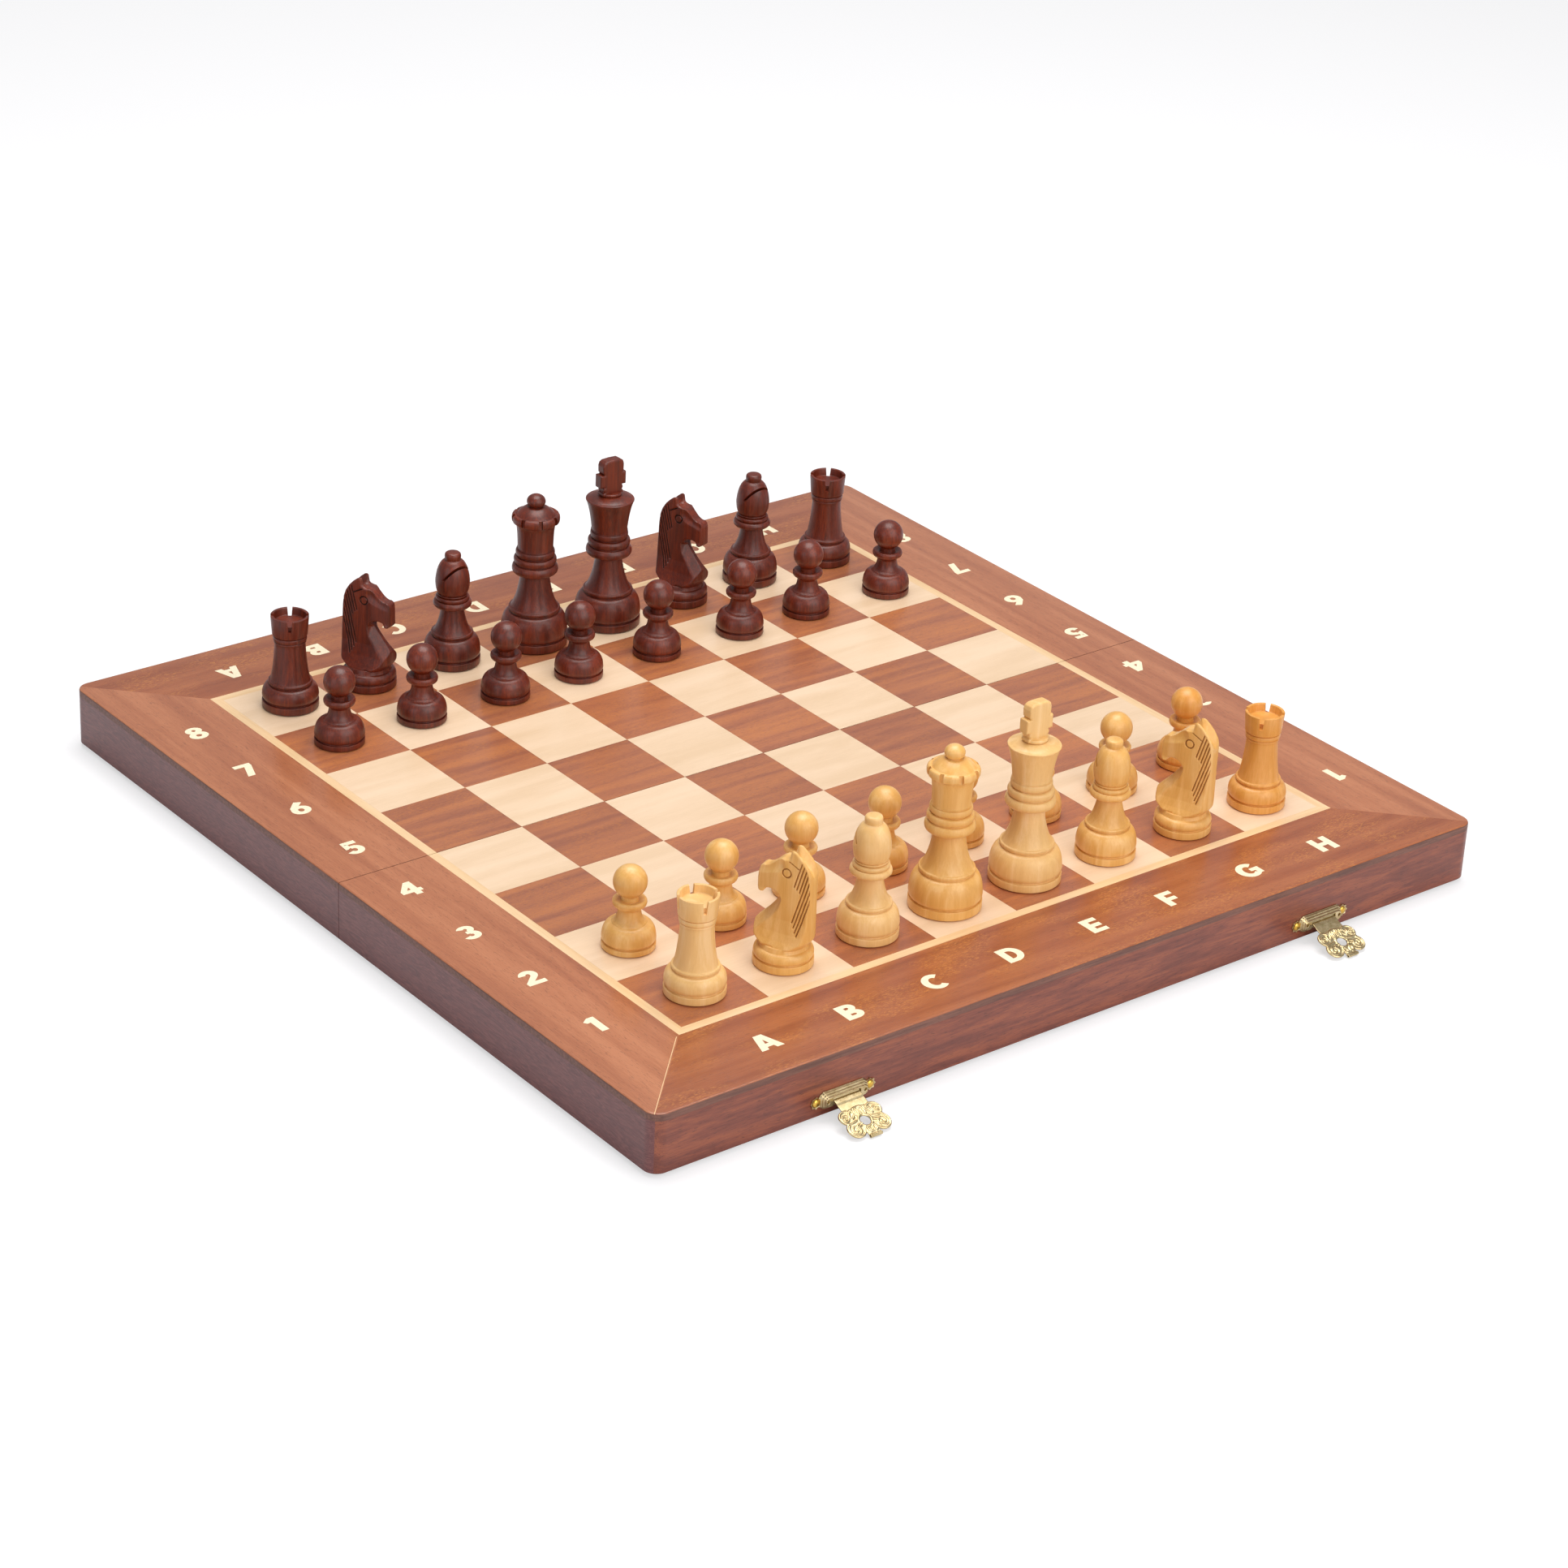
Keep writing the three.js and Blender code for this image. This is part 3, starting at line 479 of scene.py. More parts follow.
paths = (front_path, left_path, right_path)
for colour, body, turn in (("white", WHITE, 0.0), ("black", BLACK, HALF_TURN)):
    black = colour == "black"
    left, right = ("right", "left") if black else ("left", "right")
    end = "back" if black else "front"

    names = (end, f"{left}_{colour}", f"{right}_{colour}")
    walls = (f"{end}_wall", f"{left}_wall_{colour}", f"{right}_wall_{colour}")
    # the side walls take the wood with painted shade and painted floor reflection
    woods = (front_wood, side_wood_painted_shade, side_wood_painted_shade)
    for name, wall_node, material, path, inner in zip(names, walls, woods, paths,
                                                      behind(inner_half)):
        add(f"wall_{name}", *along_path(path, wall_profile, inner), body, "wall_wood",
            [material], [wall_node], turn, smooth=30)
    add(f"plywood_panel_{colour}", *along_path(tray_path, panel_profile), body, "plywood",
        [plywood["X"]], [f"panel_{colour}"], turn, smooth=30)

    for name, axis, path, inner in zip((end, left, right), "XYY", paths, behind(string_half)):
        add(f"border_{name}_{colour}", *along_path(path, edge_profile, inner), body,
            "border_veneer", [border_wood[axis], plywood[axis]], [f"border_veneer_{colour}"],
            turn, which=outward, smooth=40)

    tiles = {0: [], 1: []}
    for rank in range(4):
        for file in range(8):
            x, y = (file - 4) * SQUARE, (rank - 4) * SQUARE
            far = min(y + SQUARE, -seam_gap)
            tiles[(file + rank) % 2].append((
                (x + JOINT, y + JOINT, sheet_low.z), (x + SQUARE - JOINT, far - JOINT, top)))
    dark_name, light_name = f"dark_squares_{colour}", f"light_squares_{colour}"
    add(f"squares_dark_{colour}", *boxes(tiles[0]), body, "dark_veneer", [dark_square],
        [dark_name], turn)
    add(f"squares_light_{colour}", *boxes(tiles[1]), body, "light_veneer", [light_square],
        [light_name], turn)
    outline = [(-string_half, -string_half), (string_half, -string_half), (field, -field),
               (-field, -field)]
    add(f"string_{end}", *prism(outline, sheet_low.z, top), body, "light_veneer",
        [string_wood["X"]], [light_name], turn)
    for side, name in ((-1, left), (1, right)):
        outline = [(side * string_half, -string_half), (side * string_half, -seam_gap),
                   (side * field, -seam_gap), (side * field, -field)]
        add(f"string_{name}_{colour}", *prism(outline[::-side], sheet_low.z, top), body,
            "light_veneer", [string_wood["Y"]], [light_name], turn)

# ------------------------------------------------------------------ turned men


class Turning:
    """A turned outline from the foot up. Each call adds one member to the last."""

    def __init__(self, foot):
        self.points = [(0.0, 0.0), (foot, 0.0)]

    @property
    def end(self):
        return self.points[-1]

    def rise(self, height, radius=None):
        across, up = self.end
        self.points.append((across if radius is None else radius, up + height))
        return self

    def step(self, radius):
        return self.rise(0, radius)

    def curve(self, height, radius, belly, steps=10):
        """A curved rise, full where belly is above 0 and hollow where it is below."""
        (x0, z0), (x1, z1) = self.end, (radius, self.end[1] + height)
        outer = (max(x0, x1), z1 if x1 < x0 else z0)
        inner = (min(x0, x1), z0 if x1 < x0 else z1)
        aim = outer if belly > 0 else inner
        bend = [(a + b) / 2 + abs(belly) * (c - (a + b) / 2)
                for a, b, c in zip((x0, z0), (x1, z1), aim)]
        for i in range(1, steps + 1):
            t = i / steps
            self.points.append(tuple(
                (1 - t) ** 2 * a + 2 * t * (1 - t) * m + t * t * b
                for a, m, b in zip((x0, z0), bend, (x1, z1))))
        return self

    def disc(self, height, radius, after, square=0.6, steps=12):
        """A rounded disc that stands out to radius. square below 1 makes its rim flatter."""
        x0, z0 = self.end
        for i in range(1, steps + 1):
            t = math.pi * i / steps
            base = x0 + (after - x0) * i / steps
            swell = math.sin(t) ** square if i < steps else 0.0
            self.points.append((base + (radius - base) * swell,
                                z0 + height * (1 - math.cos(t)) / 2))
        return self

    def groove(self, depth, height):
        """A fine cut line, after which the outline comes back to its radius."""
        across = self.end[0]
        return self.rise(height * 0.3, across - depth).rise(height * 0.2).rise(height * 0.5, across)

    def egg(self, height, radius, steps=18):
        """An egg that closes the outline on the axis."""
        x0, z0 = self.end
        cut = math.sqrt(1 - (x0 / radius) ** 2)
        size = height / (1 + cut)
        first = math.asin(-cut)
        for i in range(1, steps + 1):
            angle = first + (math.pi / 2 - first) * i / steps
            across = radius * math.cos(angle) if i < steps else 0.0
            self.points.append((across, z0 + size * (cut + math.sin(angle))))
        return self

    def close(self):
        return self.step(0.0)

    def softened(self, size):
        """The outline with its sharp corners rounded by up to size."""
        kept = [self.points[0]]
        for before, corner, after in zip(self.points, self.points[1:], self.points[2:]):
            one, two = Vector(before) - Vector(corner), Vector(after) - Vector(corner)
            if one.length < 1e-6 or two.length < 1e-6:
                continue
            if one.angle(two) > math.radians(150):
                kept.append(corner)
                continue
            reach = min(size, one.length * 0.45, two.length * 0.45)
            start = Vector(corner) + one.normalized() * reach
            stop = Vector(corner) + two.normalized() * reach
            for t in (0.0, 0.33, 0.67, 1.0):
                spot = start * (1 - t) ** 2 + Vector(corner) * 2 * t * (1 - t) + stop * t * t
                kept.append(tuple(spot))
        return kept + [self.points[-1]]

    def solid(self, soft=0.3, sides=SIDES):
        return lathe(self.softened(soft), sides)


def lathe(outline, sides=SIDES):
    """A closed solid from an outline of (radius, height) that starts and ends on the axis."""
    ring = [(math.cos(2 * math.pi * i / sides), math.sin(2 * math.pi * i / sides))
            for i in range(sides)]
    body = outline[1:-1]
    verts = [(r * c, r * s, z) for r, z in body for c, s in ring]
    faces = []
    for row in range(len(body) - 1):
        for i in range(sides):
            j = (i + 1) % sides
            at, up = row * sides, (row + 1) * sides
            faces.append((at + i, at + j, up + j, up + i))
    foot, tip = len(verts), len(verts) + 1
    verts += [(0, 0, outline[0][1]), (0, 0, outline[-1][1])]
    last = (len(body) - 1) * sides
    for i in range(sides):
        j = (i + 1) % sides
        faces.append((foot, j, i))
        faces.append((tip, last + i, last + j))
    return verts, faces


def scratch(verts, faces):
    """A loose object in millimetres, for cutting and joining."""
    return placed("scratch", mesh_of("scratch", [tuple(v) for v in verts], faces))


def combined(first, second, operation="DIFFERENCE"):
    """(verts, faces) of first cut by or joined with second, each as (verts, faces)."""
    one, two = scratch(*first), scratch(*second)
    cut = one.modifiers.new("cut", "BOOLEAN")
    cut.operation, cut.solver, cut.object = operation, "MANIFOLD", two
    graph = bpy.context.evaluated_depsgraph_get()
    result = one.evaluated_get(graph).to_mesh()
    verts = [tuple(v.co) for v in result.vertices]
    faces = [tuple(f.vertices) for f in result.polygons]
    one.evaluated_get(graph).to_mesh_clear()
    for obj in (one, two):
        mesh = obj.data
        bpy.data.objects.remove(obj)
        bpy.data.meshes.remove(mesh)
    return verts, faces


def moved(shape, matrix):
    """(verts, faces) carried by a matrix."""
    verts, faces = shape
    return [tuple(matrix @ Vector(v)) for v in verts], faces


def pedestal(foot, plinth, shoulder, ledge, bead, stem, waist):
    """The foot that the men share: plinth, groove, bulb, beaded ledge and hollow stem."""
    return (
        Turning(foot - 0.9)
        .rise(0.5, foot)
        .rise(plinth - 1.05)
        .step(foot - 1.1)
        .rise(0.5)
        .curve(1.7, foot, 0.75, 6)
        .curve(shoulder - 1.7 - 0.35, ledge - 0.55, 0.86, 16)
        .rise(0.4)
        .disc(bead, ledge, ledge - 0.8, 0.5, 8)
        .curve(stem, waist, -0.42, 14)
    )


def pawn():
    """A pawn: two-stepped foot, collar and round head."""
    return (
        Turning(9.6).rise(0.5, 10.4).rise(2.1).step(9.4).rise(0.45)
        .curve(1.4, 10.4, 0.75, 6)
        .curve(6.1, 6.7, 0.84, 14).rise(0.3, 6.6)
        .curve(5.2, 4.3, -0.66, 12).curve(1.6, 6.0, -0.3, 6)
        .curve(1.5, 6.6, 0.7, 6).curve(1.2, 5.7, 0.8, 6).curve(-0.6, 3.4, -0.3, 4)
        .rise(2.0, 3.3)
        .egg(12.3, 6.55, 24)
        .solid(0.2)
    )


def rook():
    """A rook: its tower is hollow at the top and has four tapered slots."""
    turned = (
        pedestal(11.8, 4.0, 6.8, 9.2, 1.4, 17.0, 6.35)
        .disc(0.9, 6.75, 6.4, 0.5, 6).rise(0.2).disc(2.0, 7.05, 6.6, 0.4, 8).rise(0.4, 6.3)
        .step(7.35).rise(8.5, 8.0)
    )
    rim_top = turned.end[1]
    shape = turned.step(6.8).rise(-3.2, 6.4).close().solid(0.3)
    foot, top_end, narrow, wide = rim_top - 5.2, rim_top + 1, 0.6, 1.15
    verts, faces = prism([(-narrow, foot), (narrow, foot), (wide, top_end), (-wide, top_end)],
                         5.9, 9.5)
    slot = [(z, x, y) for x, y, z in verts], faces
    for i in range(4):
        shape = combined(shape, moved(slot, Matrix.Rotation(i * math.pi / 2, 4, "Z")))
    return shape


def bishop():
    """A bishop, with the cut in its mitre towards +x."""
    turned = (
        pedestal(12.1, 4.0, 9.3, 9.0, 1.4, 11.3, 4.7)
        .disc(3.3, 8.2, 6.6, 0.6).disc(1.9, 7.2, 6.1, 0.6, 8).groove(0.3, 0.3)
        .disc(0.7, 6.5, 5.9, 0.6, 6)
    )
    neck = turned.end[1]
    turned.curve(5.6, 7.35, 0.75, 12).curve(9.6, 3.3, 0.68, 18)
    shape = turned.disc(3.2, 3.5, 1.2, 0.55, 12).close().solid(0.25)
    kerf = boxes([((0, -9, -0.5), (10, 9, 0.5))])
    place = Matrix.Translation((2, 0, neck + 7.4)) @ Matrix.Rotation(math.radians(-58), 4, "Y")
    return combined(shape, moved(kerf, place))


def royal(foot, plinth, shoulder, ledge, bead, stem, waist, rings, cup):
    """A pedestal with rings of (height, radius) below the cup of a king's or queen's head."""
    turned = pedestal(foot, plinth, shoulder, ledge, bead, stem, waist)
    for (height, radius), (_, following) in zip(rings, rings[1:] + [(0, cup + 0.9)]):
        turned.disc(height - 0.5, radius, following - 0.9, 0.6).rise(0.25)
        turned.disc(0.25, following - 0.6, following - 0.8, 0.6, 4)
    return turned


def queen():
    """A queen, with eight notches in the coronet."""
    turned = royal(14.4, 4.6, 11.2, 11.1, 1.6, 15.4, 6.1, [(5, 9.9), (3.4, 9.2), (3.2, 8.4)], 7.6)
    turned.step(7.6).curve(9.8, 8.2, -0.5, 8).curve(2.2, 9.5, -0.5, 8)
    rim_top = turned.end[1] + 3.6
    turned.disc(3.6, 10.3, 8.8, 0.6, 12).rise(-0.3, 8.4)
    shape = (
        turned.curve(3.6, 4.0, 0.25, 12).step(2.8).rise(0.1)
        .egg(5.4, 4.05, 16).solid(0.3)
    )
    for i in range(8):
        notch = boxes([((9.1, -0.9, rim_top - 5.4), (14, 0.9, rim_top + 1))])
        shape = combined(shape, moved(notch, Matrix.Rotation((i + 0.5) * math.pi / 4, 4, "Z")))
    return shape


def king():
    """A king without the cross, and the height at which the cross stands."""
    turned = royal(14.4, 4.2, 10.8, 10.8, 1.6, 15.4, 5.6, [(5, 10), (3.6, 9.2), (3.2, 8.2)], 7.7)
    turned.step(7.7).curve(13.6, 10.3, -0.35, 10).disc(0.9, 10.5, 9.6, 0.6, 6)
    turned.curve(1.7, 4.4, 0.3, 8).disc(1.4, 5.1, 4.4, 0.6, 8)
    disc_top = turned.end[1]
    shape = turned.close().solid(0.3)
    return shape, disc_top


CROSS_STEP = 0.25
CROSS_HALF = 2.45       # half its thickness
CROSS_ROUND = 0.9


def cross(foot):
    """The king's cross, with its edges rounded, standing on a foot."""
    one_side = [
        (5.3, -1), (5.3, 0.9), (4.5, 1.4), (5.1, 2.0), (5.0, 3.2), (4.5, 3.6), (6.6, 3.6),
        (6.6, 9.4), (4.6, 9.4), (5.3, 10.3), (5.4, 13.2), (4.9, 14.7), (3.6, 15.5), (0, 15.7),
    ]
    low, high = (-7.2, -3.0, -0.6), (7.2, 3.0, 16.4)
    x, y, z = grid(low, high, CROSS_STEP)
    edge = to_outline(x, z, one_side + [(-a, b) for a, b in reversed(one_side[:-1])])
    body = blend_max(edge, np.abs(y) - CROSS_HALF, CROSS_ROUND)
    verts, faces = skin(np.maximum(body, -0.3 - z), low, CROSS_STEP)
    return [(a, b, c + foot) for a, b, c in verts], faces


# ------------------------------------------------------------------ carving


def largest(*fields):
    """Where several solids meet: the largest of their fields."""
    return functools.reduce(np.maximum, fields)


def smallest(*fields):
    """Several solids together: the smallest of their fields."""
    return functools.reduce(np.minimum, fields)


def blend_max(one, two, soft):
    """The larger of two fields, with the edge where they meet rounded by about soft."""
    gap = np.maximum(soft - np.abs(one - two), 0) / soft
    return np.maximum(one, two) + gap * gap * soft / 4


def blend_min(one, two, soft):
    """The smaller of two fields, with the corner where they meet filled by about soft."""
    return -blend_max(-one, -two, soft)


def ramp_up(value, start, stop):
    """0 before start, 1 after stop, and smooth between them."""
    t = np.clip((value - start) / (stop - start), 0, 1)
    return t * t * (3 - 2 * t)


def to_line(u, v, start, stop):
    """Distance from each point (u, v) to a straight line from start to stop."""
    (u0, v0), (du, dv) = start, (stop[0] - start[0], stop[1] - start[1])
    along = np.clip(((u - u0) * du + (v - v0) * dv) / (du * du + dv * dv), 0, 1)
    return np.hypot(u - u0 - along * du, v - v0 - along * dv)


def to_chain(u, v, points):
    """Distance to the nearest of the lines that join the points."""
    return smallest(*[to_line(u, v, a, b) for a, b in zip(points, points[1:])])


def to_outline(u, v, points):
    """Distance to a closed outline, below 0 inside it."""
    inside = np.zeros(np.broadcast(u, v).shape, bool)
    for (u0, v0), (u1, v1) in zip(points, points[1:] + points[:1]):
        crosses = (v0 > v) != (v1 > v)
        reach = (u1 - u0) * (v - v0) / ((v1 - v0) or 1e-9) + u0
        inside ^= crosses & (u < reach)
    away = to_chain(u, v, points + points[:1])
    return np.where(inside, -away, away)


def grid(low, high, step):
    """x, y and z of a grid of points, ready to broadcast."""
    axes = [np.arange(a, b + step, step) for a, b in zip(low, high)]
    return np.meshgrid(*axes, indexing="ij", sparse=True)


def skin(field, low, step):
    """The surface where a field on a grid is 0, as one closed shape (surface nets)."""
    shape = [n - 1 for n in field.shape]
    total, count = np.zeros(shape + [3]), np.zeros(shape)
    signs = field < 0
    crossings = []
    for axis in range(3):
        first = [slice(None)] * 3
        second = [slice(None)] * 3
        first[axis], second[axis] = slice(0, -1), slice(1, None)
        one, two = field[tuple(first)], field[tuple(second)]
        cross = signs[tuple(first)] != signs[tuple(second)]
        share = np.where(cross, one / np.where(cross, one - two, 1), 0)
        crossings.append((cross, signs[tuple(first)]))
        place = list(np.meshgrid(*[np.arange(n) for n in one.shape], indexing="ij", sparse=True))
        place[axis] = place[axis] + share
        others = [a for a in range(3) if a != axis]
        for shift_a in (0, 1):
            for shift_b in (0, 1):
                cut = [slice(None)] * 3
                cut[others[0]] = slice(shift_a, shift_a + shape[others[0]])
                cut[others[1]] = slice(shift_b, shift_b + shape[others[1]])
                hit = cross[tuple(cut)]
                for a in range(3):
                    spot = np.broadcast_to(place[a], one.shape)[tuple(cut)]
                    total[..., a] += np.where(hit, spot, 0)
                count += hit
    used = count > 0
    number = np.full(shape, -1)
    number[used] = np.arange(used.sum())
    verts = total[used] / count[used][:, None] * step + np.array(low)
    faces = []
    for axis, (cross, inside) in enumerate(crossings):
        b, c = [(1, 2), (2, 0), (0, 1)][axis]
        hits = np.argwhere(cross)
        hits = hits[(hits[:, b] > 0) & (hits[:, c] > 0)
                    & (hits[:, b] < shape[b]) & (hits[:, c] < shape[c])]
        corners = []
        for back_b, back_c in ((0, 0), (1, 0), (1, 1), (0, 1)):
            cell = hits.copy()
            cell[:, b] -= back_b
            cell[:, c] -= back_c
            corners.append(number[tuple(cell.T)])
        quads = np.stack(corners, axis=1)
        flip = ~inside[tuple(hits.T)]
        quads[flip] = quads[flip][:, ::-1]
        faces += quads.tolist()
    return verts.tolist(), faces


# The knight's head from the side, facing +X, with z from the foot.
HEAD = [
    (12.8, 7), (12.8, 14.6), (11.4, 16.8), (8.9, 19.5), (6.4, 22.2), (3.9, 25.4), (1.2, 29.3),
    (2.4, 30.5), (4.0, 31.1), (5.8, 31.1), (7.3, 30.6), (7.8, 29.8), (8.3, 29.0), (9.0, 28.7),
    (10.1, 29.2), (10.8, 30.4), (10.9, 34.0), (10.6, 37.2), (10.0, 39.1), (8.9, 39.9),
    (7.4, 40.0), (6.2, 40.5), (4.8, 41.5), (3.5, 42.8), (2.3, 43.9), (0.9, 44.7), (-0.7, 44.8),
    (-1.9, 45.2), (-2.6, 49.0), (-3.4, 49.2), (-4.9, 48.6), (-6.8, 47.0), (-8.8, 44.9),
    (-10.5, 42.2), (-11.5, 39.2), (-11.9, 35.5), (-12.6, 20), (-12.8, 7),
]
VALLEY = [(30, 45.1), (-2.2, 45.1), (-4.8, 44.8), (-7.2, 43.3), (-9.4, 41.0), (-11.0, 38.9),
          (-12.2, 36.5), (-30, 30), (-30, -9), (30, -9)]
MANE = [(-4.8, 34.5, 44.6), (-5.9, 33.7, 44.2), (-7.0, 32.6, 43.4), (-4.8, 19.9, 42.6),
        (-5.6, 18.0, 40.8), (-6.4, 16.2, 38.2), (-7.3, 15.1, 33.5)]    # x and z below, z above
MANE_SLOPE = -0.27
EAR = ((-2.3, 44.4), (-6.9, 41.9))
EYE, EYE_RADIUS = (-1.5, 39.4), 1.75
NOSE = (0.894, 0.447)   # the way the nose runs, forward and down
NOSE_TOP = 44.6         # where its line crosses the head's middle
HEAD_STEP = 0.26

THICK_AT = [8, 10, 12, 15, 20, 30, 45]      # heights, and half the head's thickness at each
THICK = [8.8, 8.2, 6.9, 5.5, 4.3, 3.75, 3.5]
BLANK_AT = [8.4, 9.6, 12.2, 13, 50]         # heights, and the radius of the turned blank at each
BLANK = [8.2, 9.5, 11.5, 11.6, 11.6]
CUT_HALF, CUT_DEPTH = 0.28, 0.75
CUT_MARGIN = 1.1        # how far the cuts end from the outline


def to_cuts(at, z):
    """Distance to the lines cut in the head's sides: mane, ear and eye."""
    lines = [to_line(at, z, (x0, z0), (x0 + MANE_SLOPE * (z1 - z0), z1)) for x0, z0, z1 in MANE]
    lines.append(to_line(at, z, *EAR))
    lines.append(np.abs(np.hypot(at - EYE[0], z - EYE[1]) - EYE_RADIUS))
    return smallest(*lines)


def half_thickness(at, z):
    """Half the head's thickness, which falls off towards the muzzle."""
    return np.interp(z, THICK_AT, THICK) - 0.12 * np.clip(at - 2.2, 0, 9) * ramp_up(z, 28, 31)


def knight(lean):
    """A knight whose head is set lean millimetres further forward than the drawing's.

    Gives verts, faces and, for each face, 1 in the cuts, which are painted with shade, and 0 elsewhere."""
    low, high = (-12.5, -9.5, 8.4), (12.5, 9.5, 50.0)
    x, y, z = grid(low, high, HEAD_STEP)
    at = x - lean
    side = to_outline(at, z, HEAD)
    over = np.abs(y) - half_thickness(at, z)
    slope = np.where(z < 20, 0.8, 1.0)
    body = blend_max(side, over * slope, 0.5)
    blank = np.hypot(x, y) - np.interp(z, BLANK_AT, BLANK)
    body = blend_max(body, blank * 0.85, 0.5)

    # the chest's two long chamfers and a fine one on the ears
    chest = ramp_up(at, -1.0, 1.5) * (1 - ramp_up(z, 27.5, 29.5))
    ears = ramp_up(z, 44.5, 46) * ramp_up(at, -4.5, -3)
    chamfer = (side + over + 0.25 + 3.0 * chest + 0.9 * ears) / math.sqrt(2)
    body = blend_max(body, chamfer, 0.3)

    # scoops along the nose
    forward = at * NOSE[0] - (z - NOSE_TOP) * NOSE[1]
    below = -(at * NOSE[1] + (z - NOSE_TOP) * NOSE[0])
    back = np.minimum(forward - 3.2, 0)
    scoop = 4.5 - np.sqrt((below - 1.0) ** 2 + (np.abs(y) - 6.85) ** 2 + back ** 2)
    body = blend_max(body, scoop, 0.25)

    # the valley between the ears, which runs out down the back of the mane
    deep = to_outline(at, z, VALLEY)
    share = np.clip(deep / np.maximum(deep - side, 0.3), 0, 1.2)
    body = blend_max(body, (2.6 * share - np.abs(y)) * 0.75, 0.2)
    band = np.hypot(at + 11.9, z - 38.0) + 0 * y
    body = blend_max(body, 0.55 - band, 0.15)

    cuts = np.maximum(to_cuts(at, z), side + CUT_MARGIN)
    body = np.maximum(body, CUT_HALF - np.hypot(cuts, over * CUT_HALF / CUT_DEPTH))
    body = np.maximum(body, low[2] + HEAD_STEP * 1.5 - z)

    foot = (
        Turning(10.8).rise(0.5, 11.6).rise(3.0).step(10.6).rise(0.45)
        .curve(1.3, 11.5, 0.75, 6).curve(2.6, 9.5, 0.8, 10).rise(1.9, 9.0).close().solid(0.3)
    )
    verts, faces = combined(foot, skin(body, low, HEAD_STEP), "UNION")
    middles = np.array([np.mean([verts[i] for i in face], axis=0) for face in faces])
    x, z = middles[:, 0] - lean, middles[:, 2]
    cuts = np.maximum(to_cuts(x, z), to_outline(x, z, HEAD) + CUT_MARGIN)
    depth = half_thickness(x, z) - np.abs(middles[:, 1])
    # the faces deep in the cuts, which take the darker tone of painted shade
    cut = (cuts < CUT_HALF) & (depth > 0.3) & (depth < CUT_DEPTH + 0.1)
    return verts, faces, cut.astype(int).tolist()


# ------------------------------------------------------------------ letters and figures

STROKE = 3.0
SIGN_HEIGHT = 10.3


def bar(x0, y0, x1, y1):
    """A straight stroke between two corners."""
    return [(x0, y0), (x1, y0), (x1, y1), (x0, y1)]


def bow(x, y, across, up, start, stop, width=STROKE, height=0.78):
    """A bent stroke: part of an oval ring, from one angle to another. It is thinner by height
    where it runs level."""
    angles = [math.radians(start + (stop - start) * i / 18) for i in range(19)]
    outer = [(x + across * math.cos(a), y + up * math.sin(a)) for a in angles]
    inner = [(x + (across - width) * math.cos(a), y + (up - width * height) * math.sin(a))
             for a in angles]
    return outer + inner[::-1]


